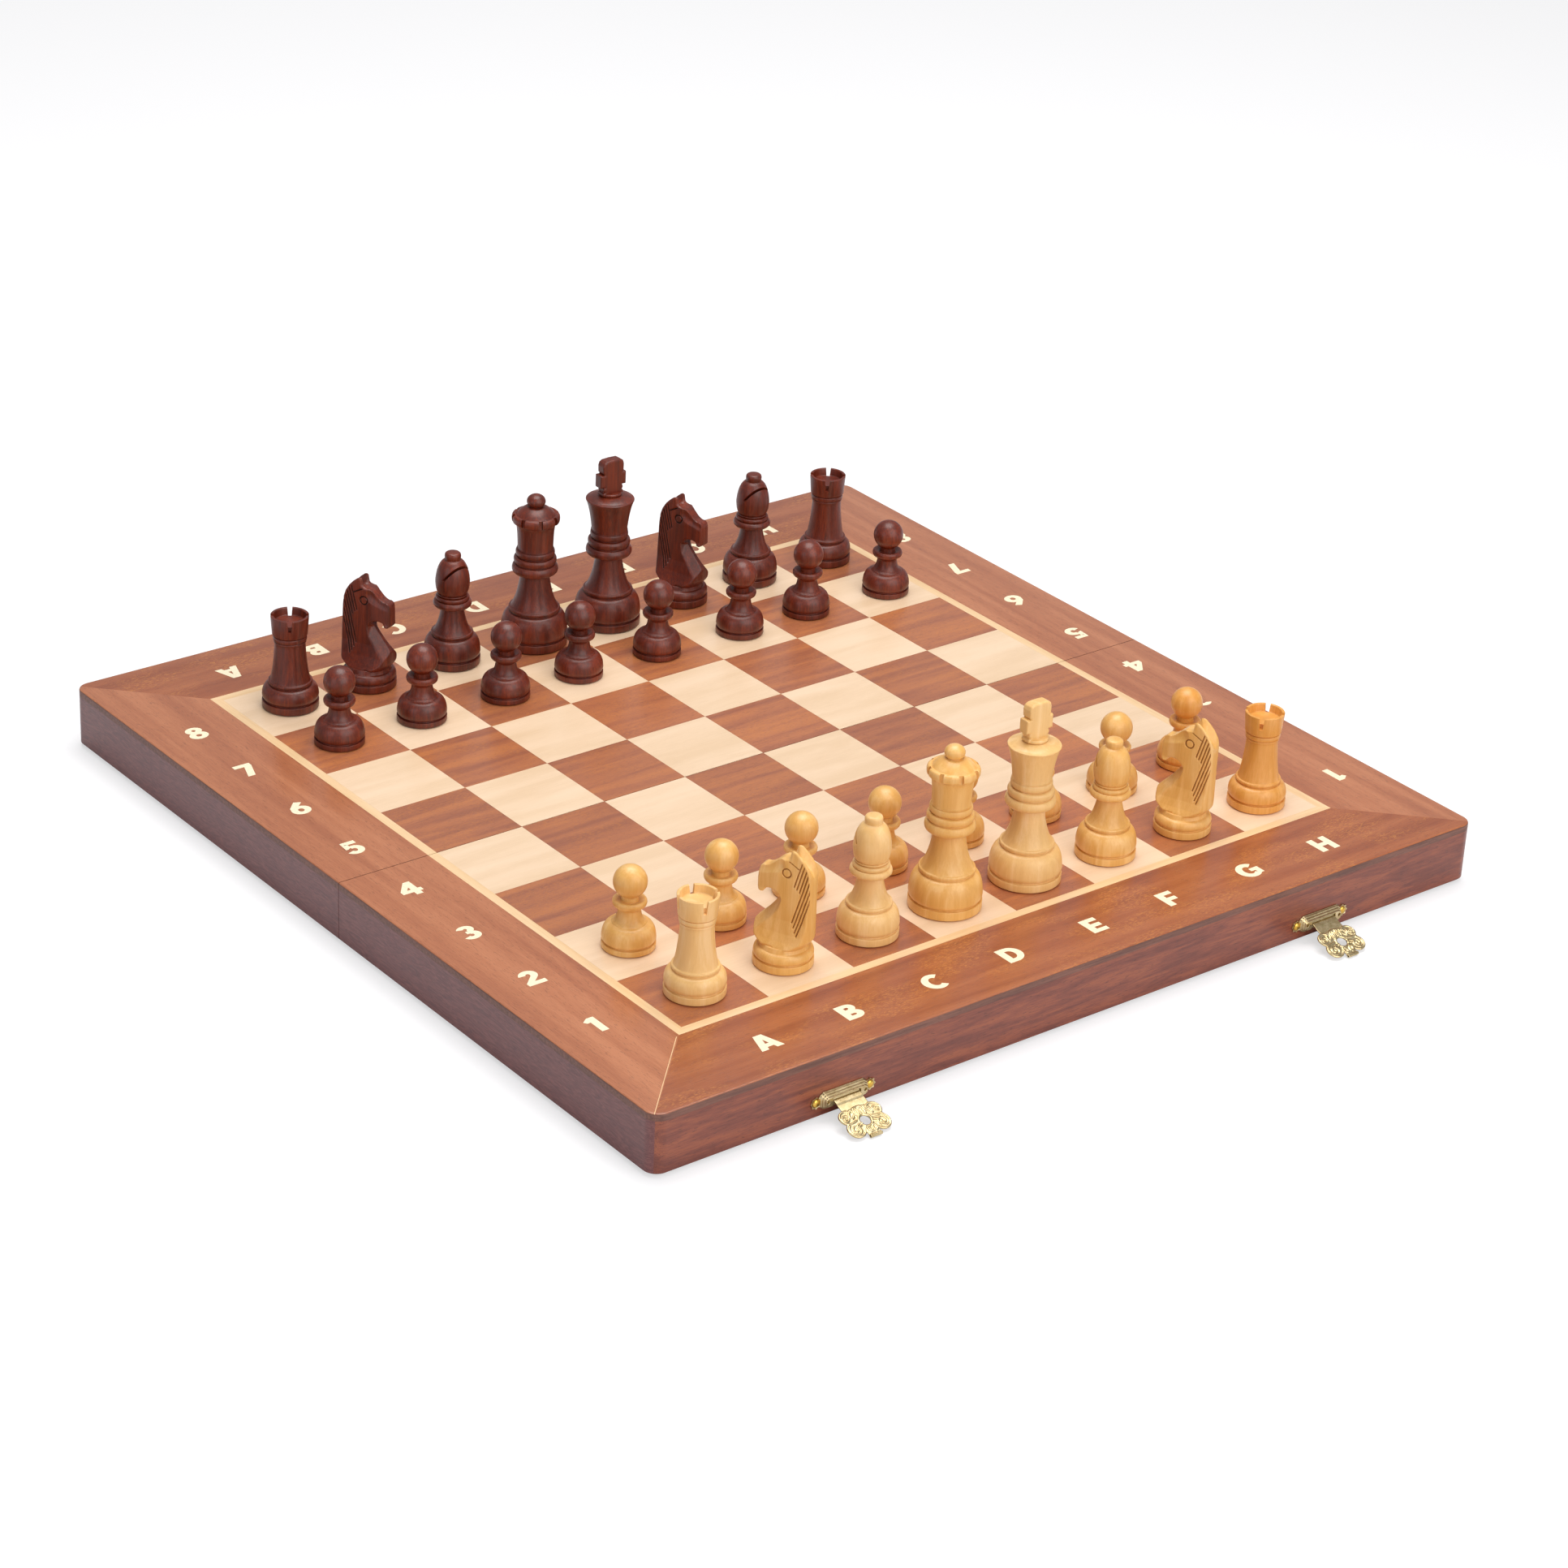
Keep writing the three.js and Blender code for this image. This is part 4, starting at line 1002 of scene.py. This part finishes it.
# Each sign is drawn with its middle at x = 0 and its foot at y = 0, as strokes that are joined.
SIGNS = {
    "A": [[(-5.1, 0), (-1.9, 10.2), (1.9, 10.2), (5.1, 0), (1.9, 0), (0, 6.9), (-1.9, 0)],
          [(-3.6, 1.7), (3.6, 1.7), (2.9, 3.9), (-2.9, 3.9)]],
    "B": [bar(-4.2, 0, -1.1, 10.2), bow(0.3, 7.5, 3.4, 2.7, -90, 90, 2.9, 0.72),
          bow(0.5, 2.95, 3.9, 2.95, -90, 90), bar(-1.2, 8.1, 0.4, 10.2),
          bar(-1.2, 3.6, 0.5, 6.6), bar(-1.2, 0, 0.6, 2.3)],
    "C": [bow(0.4, 5.1, 5.3, 5.3, 48, 312, 3.1)],
    "D": [bar(-4.6, 0, -1.5, 10.2), bow(-0.5, 5.1, 5.2, 5.1, -90, 90),
          bar(-1.6, 7.86, -0.4, 10.2), bar(-1.6, 0, -0.4, 2.34)],
    "E": [bar(-3.8, 0, -0.7, 10.2), bar(-0.8, 0, 3.8, 2.3), bar(-0.8, 3.95, 3.4, 6.2),
          bar(-0.8, 7.9, 3.8, 10.2)],
    "F": [bar(-3.7, 0, -0.6, 10.2), bar(-0.7, 3.6, 3.2, 5.9), bar(-0.7, 7.9, 3.8, 10.2)],
    "G": [bow(0.1, 5.1, 5.3, 5.3, 42, 318, 3.1), bar(0.7, 3.9, 5.2, 6.0),
          bar(2.7, 1.3, 5.2, 4.0)],
    "H": [bar(-4.7, 0, -1.6, 10.2), bar(1.6, 0, 4.7, 10.2), bar(-1.7, 3.9, 1.7, 6.3)],
    "1": [bar(-0.6, 0, 2.5, 10.5), [(-3.0, 8.7), (-0.5, 10.5), (-0.5, 7.4), (-2.0, 7.2)]],
    "2": [bow(-0.1, 7.2, 3.9, 3.3, -48, 172, 3.0),
          [(-4.1, 0), (-4.1, 2.0), (0.2, 6.0), (1.4, 6.8), (2.9, 5.0), (-0.4, 2.2), (-0.4, 0)],
          bar(-1.2, 0, 4.1, 2.35)],
    "3": [bow(-0.3, 7.7, 3.6, 2.8, -80, 158, 2.8, 0.74),
          bow(-0.2, 3.1, 4.0, 3.1, -160, 84, 2.9, 0.74), bar(-1.3, 4.4, 0.4, 6.3)],
    "4": [bar(0.1, 0, 3.0, 10.5), [(-4.6, 2.2), (-4.6, 4.4), (0.2, 10.5), (0.2, 6.6), (-1.7, 4.3)],
          bar(-4.5, 2.2, 4.5, 4.4)],
    "5": [bow(-0.2, 3.5, 4.1, 3.5, -158, 112, 2.9, 0.76),
          [(-3.4, 4.7), (-3.0, 10.5), (-0.5, 10.5), (-0.8, 6.6), (-1.2, 5.6), (-2.0, 4.9)],
          bar(-2.9, 8.2, 3.2, 10.5)],
    "6": [bow(0, 3.5, 4.2, 3.5, 0, 360, 2.9, 0.74),
          [(-4.15, 4.0), (-3.4, 6.5), (0.6, 10.6), (3.4, 9.2), (0.3, 6.4), (-1.4, 4.4)]],
    "7": [bar(-3.9, 8.1, 3.9, 10.5), [(-2.4, 0), (0.6, 8.4), (3.9, 8.4), (0.9, 0)]],
    "8": [bow(0, 7.7, 3.7, 2.85, 0, 360, 2.8, 0.7), bow(0, 3.1, 4.2, 3.15, 0, 360, 2.9, 0.72)],
}

# How far each sign stands off the middle of its square, and each row off the border's middle.
border_middle = (half + string_half) / 2
SIGN_ROWS = {
    "letters_front": (WHITE, "ABCDEFGH", 0.5, (-1.0, -1.7, -1.8, -3.9, -2.7, -3.6, -1.6, -0.8)),
    "letters_back": (BLACK, "ABCDEFGH", -3.5, (-3.5, -2.0, -2.0, -0.6, -1.0, -1.0, -1.0, -1.0)),
    "figures_left_white": (WHITE, "1234", 0.5, (-1.5, -0.6, 0.2, 1.0)),
    "figures_left_black": (BLACK, "5678", 0.5, (1.0, 0.5, 0.0, -0.6)),
    "figures_right_white": (WHITE, "1234", 2.5, (-3.0, -1.6, -0.8, 0.0)),
    "figures_right_black": (BLACK, "5678", 2.5, (-1.0, -0.4, 0.2, 1.0)),
}


def sign_shape(sign):
    """A letter or figure in the thickness of the veneer, with its middle on the z axis."""
    strokes = [prism(stroke, -SIGN_DEPTH, SIGN_PROUD) for stroke in SIGNS[sign]]
    shape = strokes[0]
    for stroke in strokes[1:]:
        shape = combined(shape, stroke, "UNION")
    return moved(shape, Matrix.Translation((0, -SIGN_HEIGHT / 2, 0)))


def joined(shapes):
    """Several shapes as one, without welding them."""
    verts, faces = [], []
    for more_verts, more_faces in shapes:
        faces += [tuple(len(verts) + i for i in face) for face in more_faces]
        verts += more_verts
    return verts, faces


for name, (body, signs, off_row, shifts) in SIGN_ROWS.items():
    row = []
    for sign, shift in zip(signs, shifts):
        along = ("ABCDEFGH12345678".index(sign) % 8 - 3.5) * SQUARE + shift
        across = border_middle + off_row
        x, y = {"front": (along, -across), "back": (along, across),
                "left": (-across, along), "right": (across, along)}[name.split("_")[1]]
        turn = HALF_TURN if "back" in name or "right" in name else 0.0
        place = Matrix.Translation((x, y, top)) @ Matrix.Rotation(turn, 4, "Z")
        row.append(moved(sign_shape(sign), place))
    add(name, *joined(row), body, "light_veneer", [cream])

# the pale glue line along the front left mitre
near, far = Vector((-string_half - 1.5, -string_half - 0.5)), Vector((-half + 1.5, -half + 2))
sideways = (far - near).normalized().orthogonal() * HAIRLINE / 2
line = [near + sideways, near - sideways, far - sideways, far + sideways]
add("glue_line_front_left", *prism([tuple(p) for p in line][::-1], top - SIGN_DEPTH,
                                   top + SIGN_PROUD / 2), WHITE, "light_veneer",
    [string_wood["Y"]])

# ------------------------------------------------------------------ brass fittings

SHEET = 0.45            # pressed brass
BRASS_STEP = 0.13
LOBE_REACH = 12.4       # middle of a clasp's end lobe
LOBE_RADIUS = 2.6
NAIL_RADIUS = 1.65
SLOT_HALF = 6.4
SLOT_TOP = 1.5          # above the plate's middle
HASP_LENGTH = 21.0
HASP_THICK = 0.8

upper_right = [(9.2, 3.5), (9.8, 2.95), (10.5, 2.65), (10.9, 2.1), (11.2, 1.2)]
right_side = [(x, -y) for x, y in upper_right] + upper_right[::-1]
HOUSING = right_side + [(-x, y) for x, y in reversed(right_side)]


def pressed(inset, steps):
    """Height of a pressed sheet at an inset from its edge, from (inset, rise) steps."""
    return SHEET + sum(rise * ramp_up(inset, at - 0.15, at + 0.15) for at, rise in steps)


def star(u, v, radius, cut, points):
    """Distance to a disc whose edge is scalloped between its points."""
    return np.hypot(u, v) - radius + cut * np.abs(np.sin(np.arctan2(v, u) * points / 2))


def clasp_plate():
    """A pressed housing in u and v, with its back on w = 0 and its front towards +w."""
    low, high = (-15.3, -3.8, -0.3), (15.3, 3.8, 3.3)
    u, v, w = grid(low, high, BRASS_STEP)
    edge = to_outline(u, v, HOUSING)
    housing = np.maximum(edge, (w - pressed(-edge, [(0.25, 0.75), (0.85, 0.8), (1.5, 0.9)])) * 0.6)
    out = np.abs(u) - LOBE_REACH
    lobe = np.maximum(star(out, v, LOBE_RADIUS, 0.5, 8),
                      w - SHEET - 0.35 * ramp_up(np.hypot(out, v), 1.5, 2.5))
    body = blend_min(housing, lobe, 0.25)
    slot = largest(np.abs(u) - SLOT_HALF, v - SLOT_TOP, SHEET - w)
    dimple = np.maximum(np.hypot(np.abs(u) - 8.6, v - 0.2) - 0.65, 1.8 - w)
    body = largest(body, -slot, -dimple, -w)
    return skin(body, low, BRASS_STEP)


def oval(u, v, across, up, tilt=0.0, start=0.0, turns=1.0, end=1.0, steps=20):
    """A bent line: an oval, or a spiral whose size goes from 1 to end."""
    line = []
    for i in range(steps + 1):
        angle = math.radians(start + 360 * turns * i / steps)
        size = 1 + (end - 1) * i / steps
        a, b = size * across * math.cos(angle), size * up * math.sin(angle)
        lean = math.radians(tilt)
        line.append((u + a * math.cos(lean) - b * math.sin(lean),
                     v + a * math.sin(lean) + b * math.cos(lean)))
    return line


# One side of the hasp's scrollwork, as lines in u and the distance down from the pivot.
SCROLLS = [
    oval(1.35, 8.9, 0.8, 1.9, -6), oval(3.9, 9.2, 0.85, 2.0, -24), oval(1.3, 9.2, 0.2, 1.1, -6),
    oval(7.1, 10.2, 1.6, 1.25, 30), oval(7.1, 10.2, 0.6, 0.4, 30),
    oval(6.1, 15.9, 2.75, 2.75, 0, -60, 1.7, 0.16, 36), oval(1.5, 17.3, 0.75, 1.35, 14),
    oval(3.4, 14.3, 1.5, 0.5, 20), [(3.2, 12.3), (5.6, 12.7), (8.2, 12.8)],
]
HASP_HOLE, HOLE_RADIUS = 13.2, 2.1      # distance down from the pivot, and radius
NECK_HALF = 6.1
STEP_DOWN = 3.4         # where the neck steps back
LIP_HALF = 2.7
ROLL_DOWN = 20.2        # the rolled lip's middle
PIVOT_RADIUS = 0.8
PIN_HALF = 7.6
CATCH_NAIL_REACH = 7.2
HINGE_RADIUS = 1.25
HINGE_STEP = 0.2
LEAF_HALF = 15
SCREWS_AT = (-10, 0, 10)
KNUCKLE_PITCH, KNUCKLE_HALF = 10.1, 4.9


def hasp():
    """The hasp hangs from its pivot at the origin, down -v, with its face towards +w."""
    low, high = (-9.9, -21.3, -1.0), (9.9, 1.1, 1.0)
    u, v, w = grid(low, high, BRASS_STEP)
    across, down = np.abs(u), -v
    neck = np.maximum(across - NECK_HALF, np.abs(down - 4.5) - 4.5)
    upper = np.hypot(across - 6.1, down - 9.9) - 3.35
    lower = np.hypot(across - 5.75, down - 15.7) - 3.8
    flower = smallest(upper, lower, np.hypot(across, down - 12.6) - 6.3)
    lip = np.maximum(across - LIP_HALF, np.abs(down - 17) - 3.2)
    edge = smallest(neck, flower, lip)
    middle = 0.1 - 0.24 * ramp_up(down, STEP_DOWN - 0.3, STEP_DOWN + 0.3)
    body = np.maximum(edge, np.abs(w - middle) - SHEET / 2)

    lines = [to_chain(across, down, line) for line in SCROLLS]
    lines.append(np.abs(flower + 0.45))
    from_hole = np.hypot(u, down - HASP_HOLE)
    lines.append(np.abs(from_hole - HOLE_RADIUS - 0.6))
    ridge = np.hypot(smallest(*lines), w - middle - 0.14) - 0.36
    body = blend_min(body, np.maximum(ridge, edge), 0.2)
    body = np.maximum(body, HOLE_RADIUS - from_hole)

    roll = np.hypot(down - ROLL_DOWN, w + 0.05)
    body = blend_min(body, np.maximum(roll - 0.72, across - LIP_HALF), 0.15)
    body = np.maximum(body, -np.maximum(roll - 0.38, 1.4 - across))
    barrel = np.hypot(v, w)
    body = np.minimum(body, np.maximum(barrel - PIVOT_RADIUS, across - NECK_HALF))
    body = np.minimum(body, np.maximum(barrel - PIVOT_RADIUS / 2, across - PIN_HALF))
    return skin(body, low, BRASS_STEP)


def catch_plate():
    """The plate on the back wall, with the stud that goes through the hasp's hole."""
    low, high = (-10.3, -3.8, -0.3), (10.3, 3.8, 0.8)
    u, v, w = grid(low, high, BRASS_STEP)
    edge = to_outline(u, v, [(x * 0.88, y) for x, y in HOUSING])
    body = largest(edge, w - SHEET + 0.2 * (1 - ramp_up(-edge, 0.2, 0.6)), -w)
    plate = skin(body, low, BRASS_STEP)
    stud = Turning(1.6).rise(2.0, 1.6).curve(0.4, 1.1, 0.7, 5).close().solid(0.2, 32)
    return combined(plate, stud, "UNION")


def hinge_leaf(knuckles, pinned):
    """A hinge leaf on the -y side of its pin, with its screw heads underneath."""
    low, high = (-15.3, -8.5, -0.3), (15.3, 1.6, 3.1)
    x, y, z = grid(low, high, HINGE_STEP)
    from_pin = np.hypot(y, z - HINGE_RADIUS)
    body = largest(np.abs(x) - LEAF_HALF, np.abs(y + 4.85) - 3.3, np.abs(z - 2.4) - 0.4)
    for knuckle in knuckles:
        reach = np.abs(x - KNUCKLE_PITCH * knuckle) - KNUCKLE_HALF
        body = np.minimum(body, np.maximum(from_pin - HINGE_RADIUS, reach))
        web = largest(reach, np.abs(y + 1.2) - 0.9, np.abs(z - 2.2) - 0.6)
        body = blend_min(body, web, 0.3)
    if pinned:
        body = np.minimum(body, np.maximum(from_pin - 0.6, np.abs(x) - LEAF_HALF))
    else:
        body = np.maximum(body, 0.9 - from_pin)
    for at in SCREWS_AT:
        from_screw = np.hypot(x - at, y + 5)
        body = np.maximum(body, -np.maximum(from_screw - 1.95, z - 2.5))
        cross_cut = np.maximum(np.abs(x - at) - 0.28, z - 2.35)
        head = largest(from_screw - 1.7, np.abs(z - 2.38) - 0.28, -cross_cut)
        body = np.minimum(body, head)
    return skin(body, low, HINGE_STEP)


def brass_piece(name, node, shape, place, material=brass, replaced=True):
    """A fitting that rides with a CAD node, and stands in for it where replaced is set."""
    add(name, *moved(shape, place), body_of(node), "brass", [material],
        [node] if replaced else [], smooth=60)


upright = Matrix.Rotation(math.radians(90), 4, "X")
plate_shape, hasp_shape, catch_shape = clasp_plate(), hasp(), catch_plate()
nail_shape = Turning(NAIL_RADIUS - 0.15).rise(0.2, NAIL_RADIUS).curve(0.75, 0.0, 0.75, 8).solid(
    0.1, 28)
for end in ("left", "right"):
    low, high = span(f"clasp_plate_{end}")
    middle = (low + high) / 2
    on_wall = Matrix.Translation((middle.x, high.y - seam_y, middle.z)) @ upright
    brass_piece(f"housing_of_clasp_{end}", f"clasp_plate_{end}", plate_shape, on_wall)
    outer_side = -1 if end == "left" else 1
    for side in (-1, 1):
        spot = on_wall @ Matrix.Translation((side * LOBE_REACH, 0, SHEET))
        brass_piece(f"nail_{'outer' if side == outer_side else 'inner'}_{end}",
                    f"clasp_plate_{end}", nail_shape, spot, nail_brass, replaced=False)

    # the hasp's angle, from how far it reaches out and down from its pivot
    joint = next(j for j in frame["joints"] if j["name"] == f"clasp_{end}")
    pivot = Vector(joint["pos_m"]) / MM
    low, high = span(f"clasp_hasp_{end}")
    out, down = pivot.y - low.y, pivot.z - low.z
    half_thick = HASP_THICK / 2 / HASP_LENGTH
    swing = math.atan2(out - half_thick * down, down - half_thick * out)
    hung = Matrix.Translation((pivot.x, pivot.y - seam_y, pivot.z)) @ Matrix.Rotation(
        -swing, 4, "X") @ upright
    brass_piece(f"hasp_{end}", f"clasp_hasp_{end}", hasp_shape, hung)

    low, high = span(f"catch_plate_{end}")
    middle = (low + high) / 2
    on_back = Matrix.Translation((middle.x, low.y - seam_y, middle.z)) @ Matrix.Rotation(
        HALF_TURN, 4, "Z") @ upright
    brass_piece(f"catch_{end}", f"catch_plate_{end}", catch_shape, on_back)
    for side in (-1, 1):
        spot = on_back @ Matrix.Translation((side * CATCH_NAIL_REACH, 0, SHEET - 0.1))
        brass_piece(f"catch_nail_{'left' if side < 0 else 'right'}_{end}",
                    f"catch_plate_{end}", nail_shape, spot, nail_brass, replaced=False)

leaf_shapes = {"white": hinge_leaf((-1, 1), True), "black": hinge_leaf((0,), False)}
for colour, shape in leaf_shapes.items():
    for end in ("left", "right"):
        node = f"hinge_leaf_{colour}_{end}"
        low, high = span(node)
        place = Matrix.Translation(((low.x + high.x) / 2, 0, low.z)) @ Matrix.Rotation(
            HALF_TURN if colour == "black" else 0.0, 4, "Z")
        brass_piece(f"hinge_{colour}_{end}", node, shape, place)

# ------------------------------------------------------------------ inside the trays

FELT_CELLS = (60, 30)
FELT_RELIEF = 0.06      # millimetres
rng = np.random.default_rng(7)
for colour, body in (("white", WHITE), ("black", BLACK)):
    low, high = span(f"felt_lining_{colour}")
    across = np.linspace(low.x, high.x, FELT_CELLS[0] + 1)
    along = np.linspace(low.y, high.y, FELT_CELLS[1] + 1) - seam_y
    count = len(across) * len(along)
    under = low.z + FELT_RELIEF * rng.random((len(along), len(across)))
    verts = [(x, y, under[j, i]) for j, y in enumerate(along) for i, x in enumerate(across)]
    verts += [(x, y, high.z) for y in along for x in across]
    row = len(across)
    faces = []
    for j in range(len(along) - 1):
        for i in range(len(across) - 1):
            at = j * row + i
            faces.append((at, at + row, at + row + 1, at + 1))
            faces.append((at + count, at + count + 1, at + count + row + 1, at + count + row))
    rim_loop = (list(range(row)) + [j * row + row - 1 for j in range(1, len(along))]
                + [count - 1 - i for i in range(1, row)]
                + [j * row for j in range(len(along) - 2, 0, -1)])
    for one, two in zip(rim_loop, rim_loop[1:] + rim_loop[:1]):
        faces.append((one, two, two + count, one + count))
    lining = add(f"felt_{colour}", verts, faces, body, "felt", [green_felt],
                 [f"felt_lining_{colour}"], smooth=40)
    seam_wall = frame["nodes"][f"seam_wall_{colour}"]
    seam_wall.data.materials.clear()
    seam_wall.data.materials.append(inner_wood["X"])

# ------------------------------------------------------------------ men in their places

TURNS = {
    "white_rook_a1": -16, "white_knight_b1": 115, "white_bishop_c1": 99, "white_bishop_f1": 95,
    "white_knight_g1": 111, "white_rook_h1": 37, "black_rook_a8": -32, "black_knight_b8": -65,
    "black_bishop_c8": -84, "black_knight_f8": -72, "black_bishop_g8": -88, "black_rook_h8": -40,
}
TONES = {"white_king": "pale", "white_bishop_c1": "pale", "white_rook_a1": "pale",
         "white_rook_h1": "orange", "white_pawn_h2": "orange"}

king_shape, king_disc = king()
king_shape = combined(king_shape, cross(king_disc - 0.7), "UNION")
shapes = {"pawn": pawn(), "rook": rook(), "bishop": bishop(), "queen": queen(),
          "king": king_shape, "knight": knight(0.0)}
shapes_black = {**shapes, "knight": knight(1.1)}


def axis_of(node):
    """The middle of a man's foot and its height, in millimetres about the seam's middle."""
    points = np.array([v.co for v in frame["nodes"][node].data.vertices]) / MM
    foot = points[:, 2].min()
    ring = np.unique(points[points[:, 2] < foot + 0.01].round(3), axis=0)
    middle = ring.mean(axis=0)
    return middle[0], middle[1] - seam_y, foot


for node in sorted(frame["nodes"]):
    if not node.startswith(("white_", "black_")):
        continue
    kind = node.split("_")[1]
    white = node.startswith("white")
    material = boxwood[TONES.get(node, "honey")] if white else rosewood
    slot = "boxwood" if white else "dark_wood"
    x, y, z = axis_of(node)
    place = Matrix.Translation((x, y, z)) @ Matrix.Rotation(
        math.radians(TURNS.get(node, 0)), 4, "Z")
    side, rest = node.split("_", 1)
    verts, faces, *marks = (shapes if white else shapes_black)[kind]
    verts, faces = moved((verts, faces), place)
    # the second material paints shade into the floors of the knights' cuts
    cut = cut_boxwood if white else cut_rosewood
    add(f"{rest}_{side}", verts, faces, body_of(node), slot, [material, cut], [node],
        marks=marks[0] if marks else None, smooth=35)

# ------------------------------------------------------------------ camera, floor and light

CAMERA_PLACE = Vector((-962.157, -1202.327, 796.027))   # from the seam's middle at the rim
CAMERA_AIM = Vector((20.825, 11.219, 0.0))
CAMERA_ROLL = 2.858
LENS = 96.41
SENSOR = 36.0
FLOOR_REACH = 6         # metres
FLOOR_DROP = 0.0002     # metres below the table, clear of what stands on it
FLOOR_GLOW = 1.34       # strength of the floor's own light
FLOOR_GLOW_SHARE = 0.44     # of that light, in what the camera sees of the floor
AMBIENT = 0.16          # how strongly the white room lights the set
MIRRORED = 0.3          # how much of the white room a varnished face shows

camera = placed("camera", bpy.data.cameras.new("camera"))
bpy.context.scene.camera = camera
camera.data.lens = LENS
camera.data.sensor_width = SENSOR
camera.data.clip_start, camera.data.clip_end = 0.05, 20.0
base = Vector((0, seam_y, rim))
look = (CAMERA_AIM - CAMERA_PLACE).normalized()
turned = look.to_track_quat("-Z", "Y").to_matrix() @ Matrix.Rotation(
    math.radians(CAMERA_ROLL), 3, "Z")
camera.matrix_world = Matrix.Translation((CAMERA_PLACE + base) * MM) @ turned.to_4x4()

corners = [(x * FLOOR_REACH, y * FLOOR_REACH, 0) for x, y in ((-1, -1), (1, -1), (1, 1), (-1, 1))]
floor = placed("floor", mesh_of("floor", corners, [(0, 1, 2, 3)]))
floor.location.z = -FLOOR_DROP
floor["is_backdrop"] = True
paper = Nodes("pale_paper")
paper.finish(Base_Color=(0.8, 0.8, 0.83, 1), Roughness=0.9)
lit = paper.shader.outputs[0]
glow = paper.node("Emission", {"Color": (1, 1, 1, 1), "Strength": FLOOR_GLOW})
seen = paper.node("MixShader", {0: FLOOR_GLOW_SHARE, 1: lit, 2: glow.outputs[0]})
by_camera = paper.node("LightPath").outputs["Is Camera Ray"]
both = paper.node("MixShader", {0: by_camera, 1: lit, 2: seen.outputs[0]})
paper.feed(paper.tree.nodes["Material Output"].inputs["Surface"], both.outputs[0])
floor.data.materials.append(paper.owner)

world = Nodes("studio", "worlds")
bpy.context.scene.world = world.owner
ray = world.node("LightPath").outputs
shown = world.math("MULTIPLY_ADD", ray["Is Glossy Ray"], MIRRORED, ray["Is Camera Ray"])
strength = world.node("MapRange", {"Value": shown, "To Min": AMBIENT, "To Max": 1.0})
background = world.tree.nodes["Background"].inputs
world.feed(background["Color"], (0.93, 0.95, 1.0, 1))
world.feed(background["Strength"], strength.outputs["Result"])


def lamp(name, direction, distance, size, watts, colour):
    """A square soft box that faces the board from a direction."""
    light = bpy.data.lights.new(name, "AREA")
    light.size, light.energy, light.color = size, watts, colour
    made = placed(name, light)
    way = Vector(direction).normalized()
    made.location = Vector((0, seam_y * MM, 0.03)) + way * distance
    made.rotation_mode = "QUATERNION"
    made.rotation_quaternion = (-way).to_track_quat("-Z", "Y")
    made.visible_camera = False


lamp("key_overhead", (0.1, 0.1, 1.0), 1.6, 1.2, 26, (1.0, 0.985, 0.96))
lamp("front_box", (0.0, -0.89, 0.52), 2.4, 2.4, 41, (1.0, 0.98, 0.95))
lamp("left_fill", (-1.0, -0.2, 0.35), 1.8, 1.0, 4.0, (0.93, 0.96, 1.0))

bpy.context.scene.view_settings.view_transform = "Standard"

low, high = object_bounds()
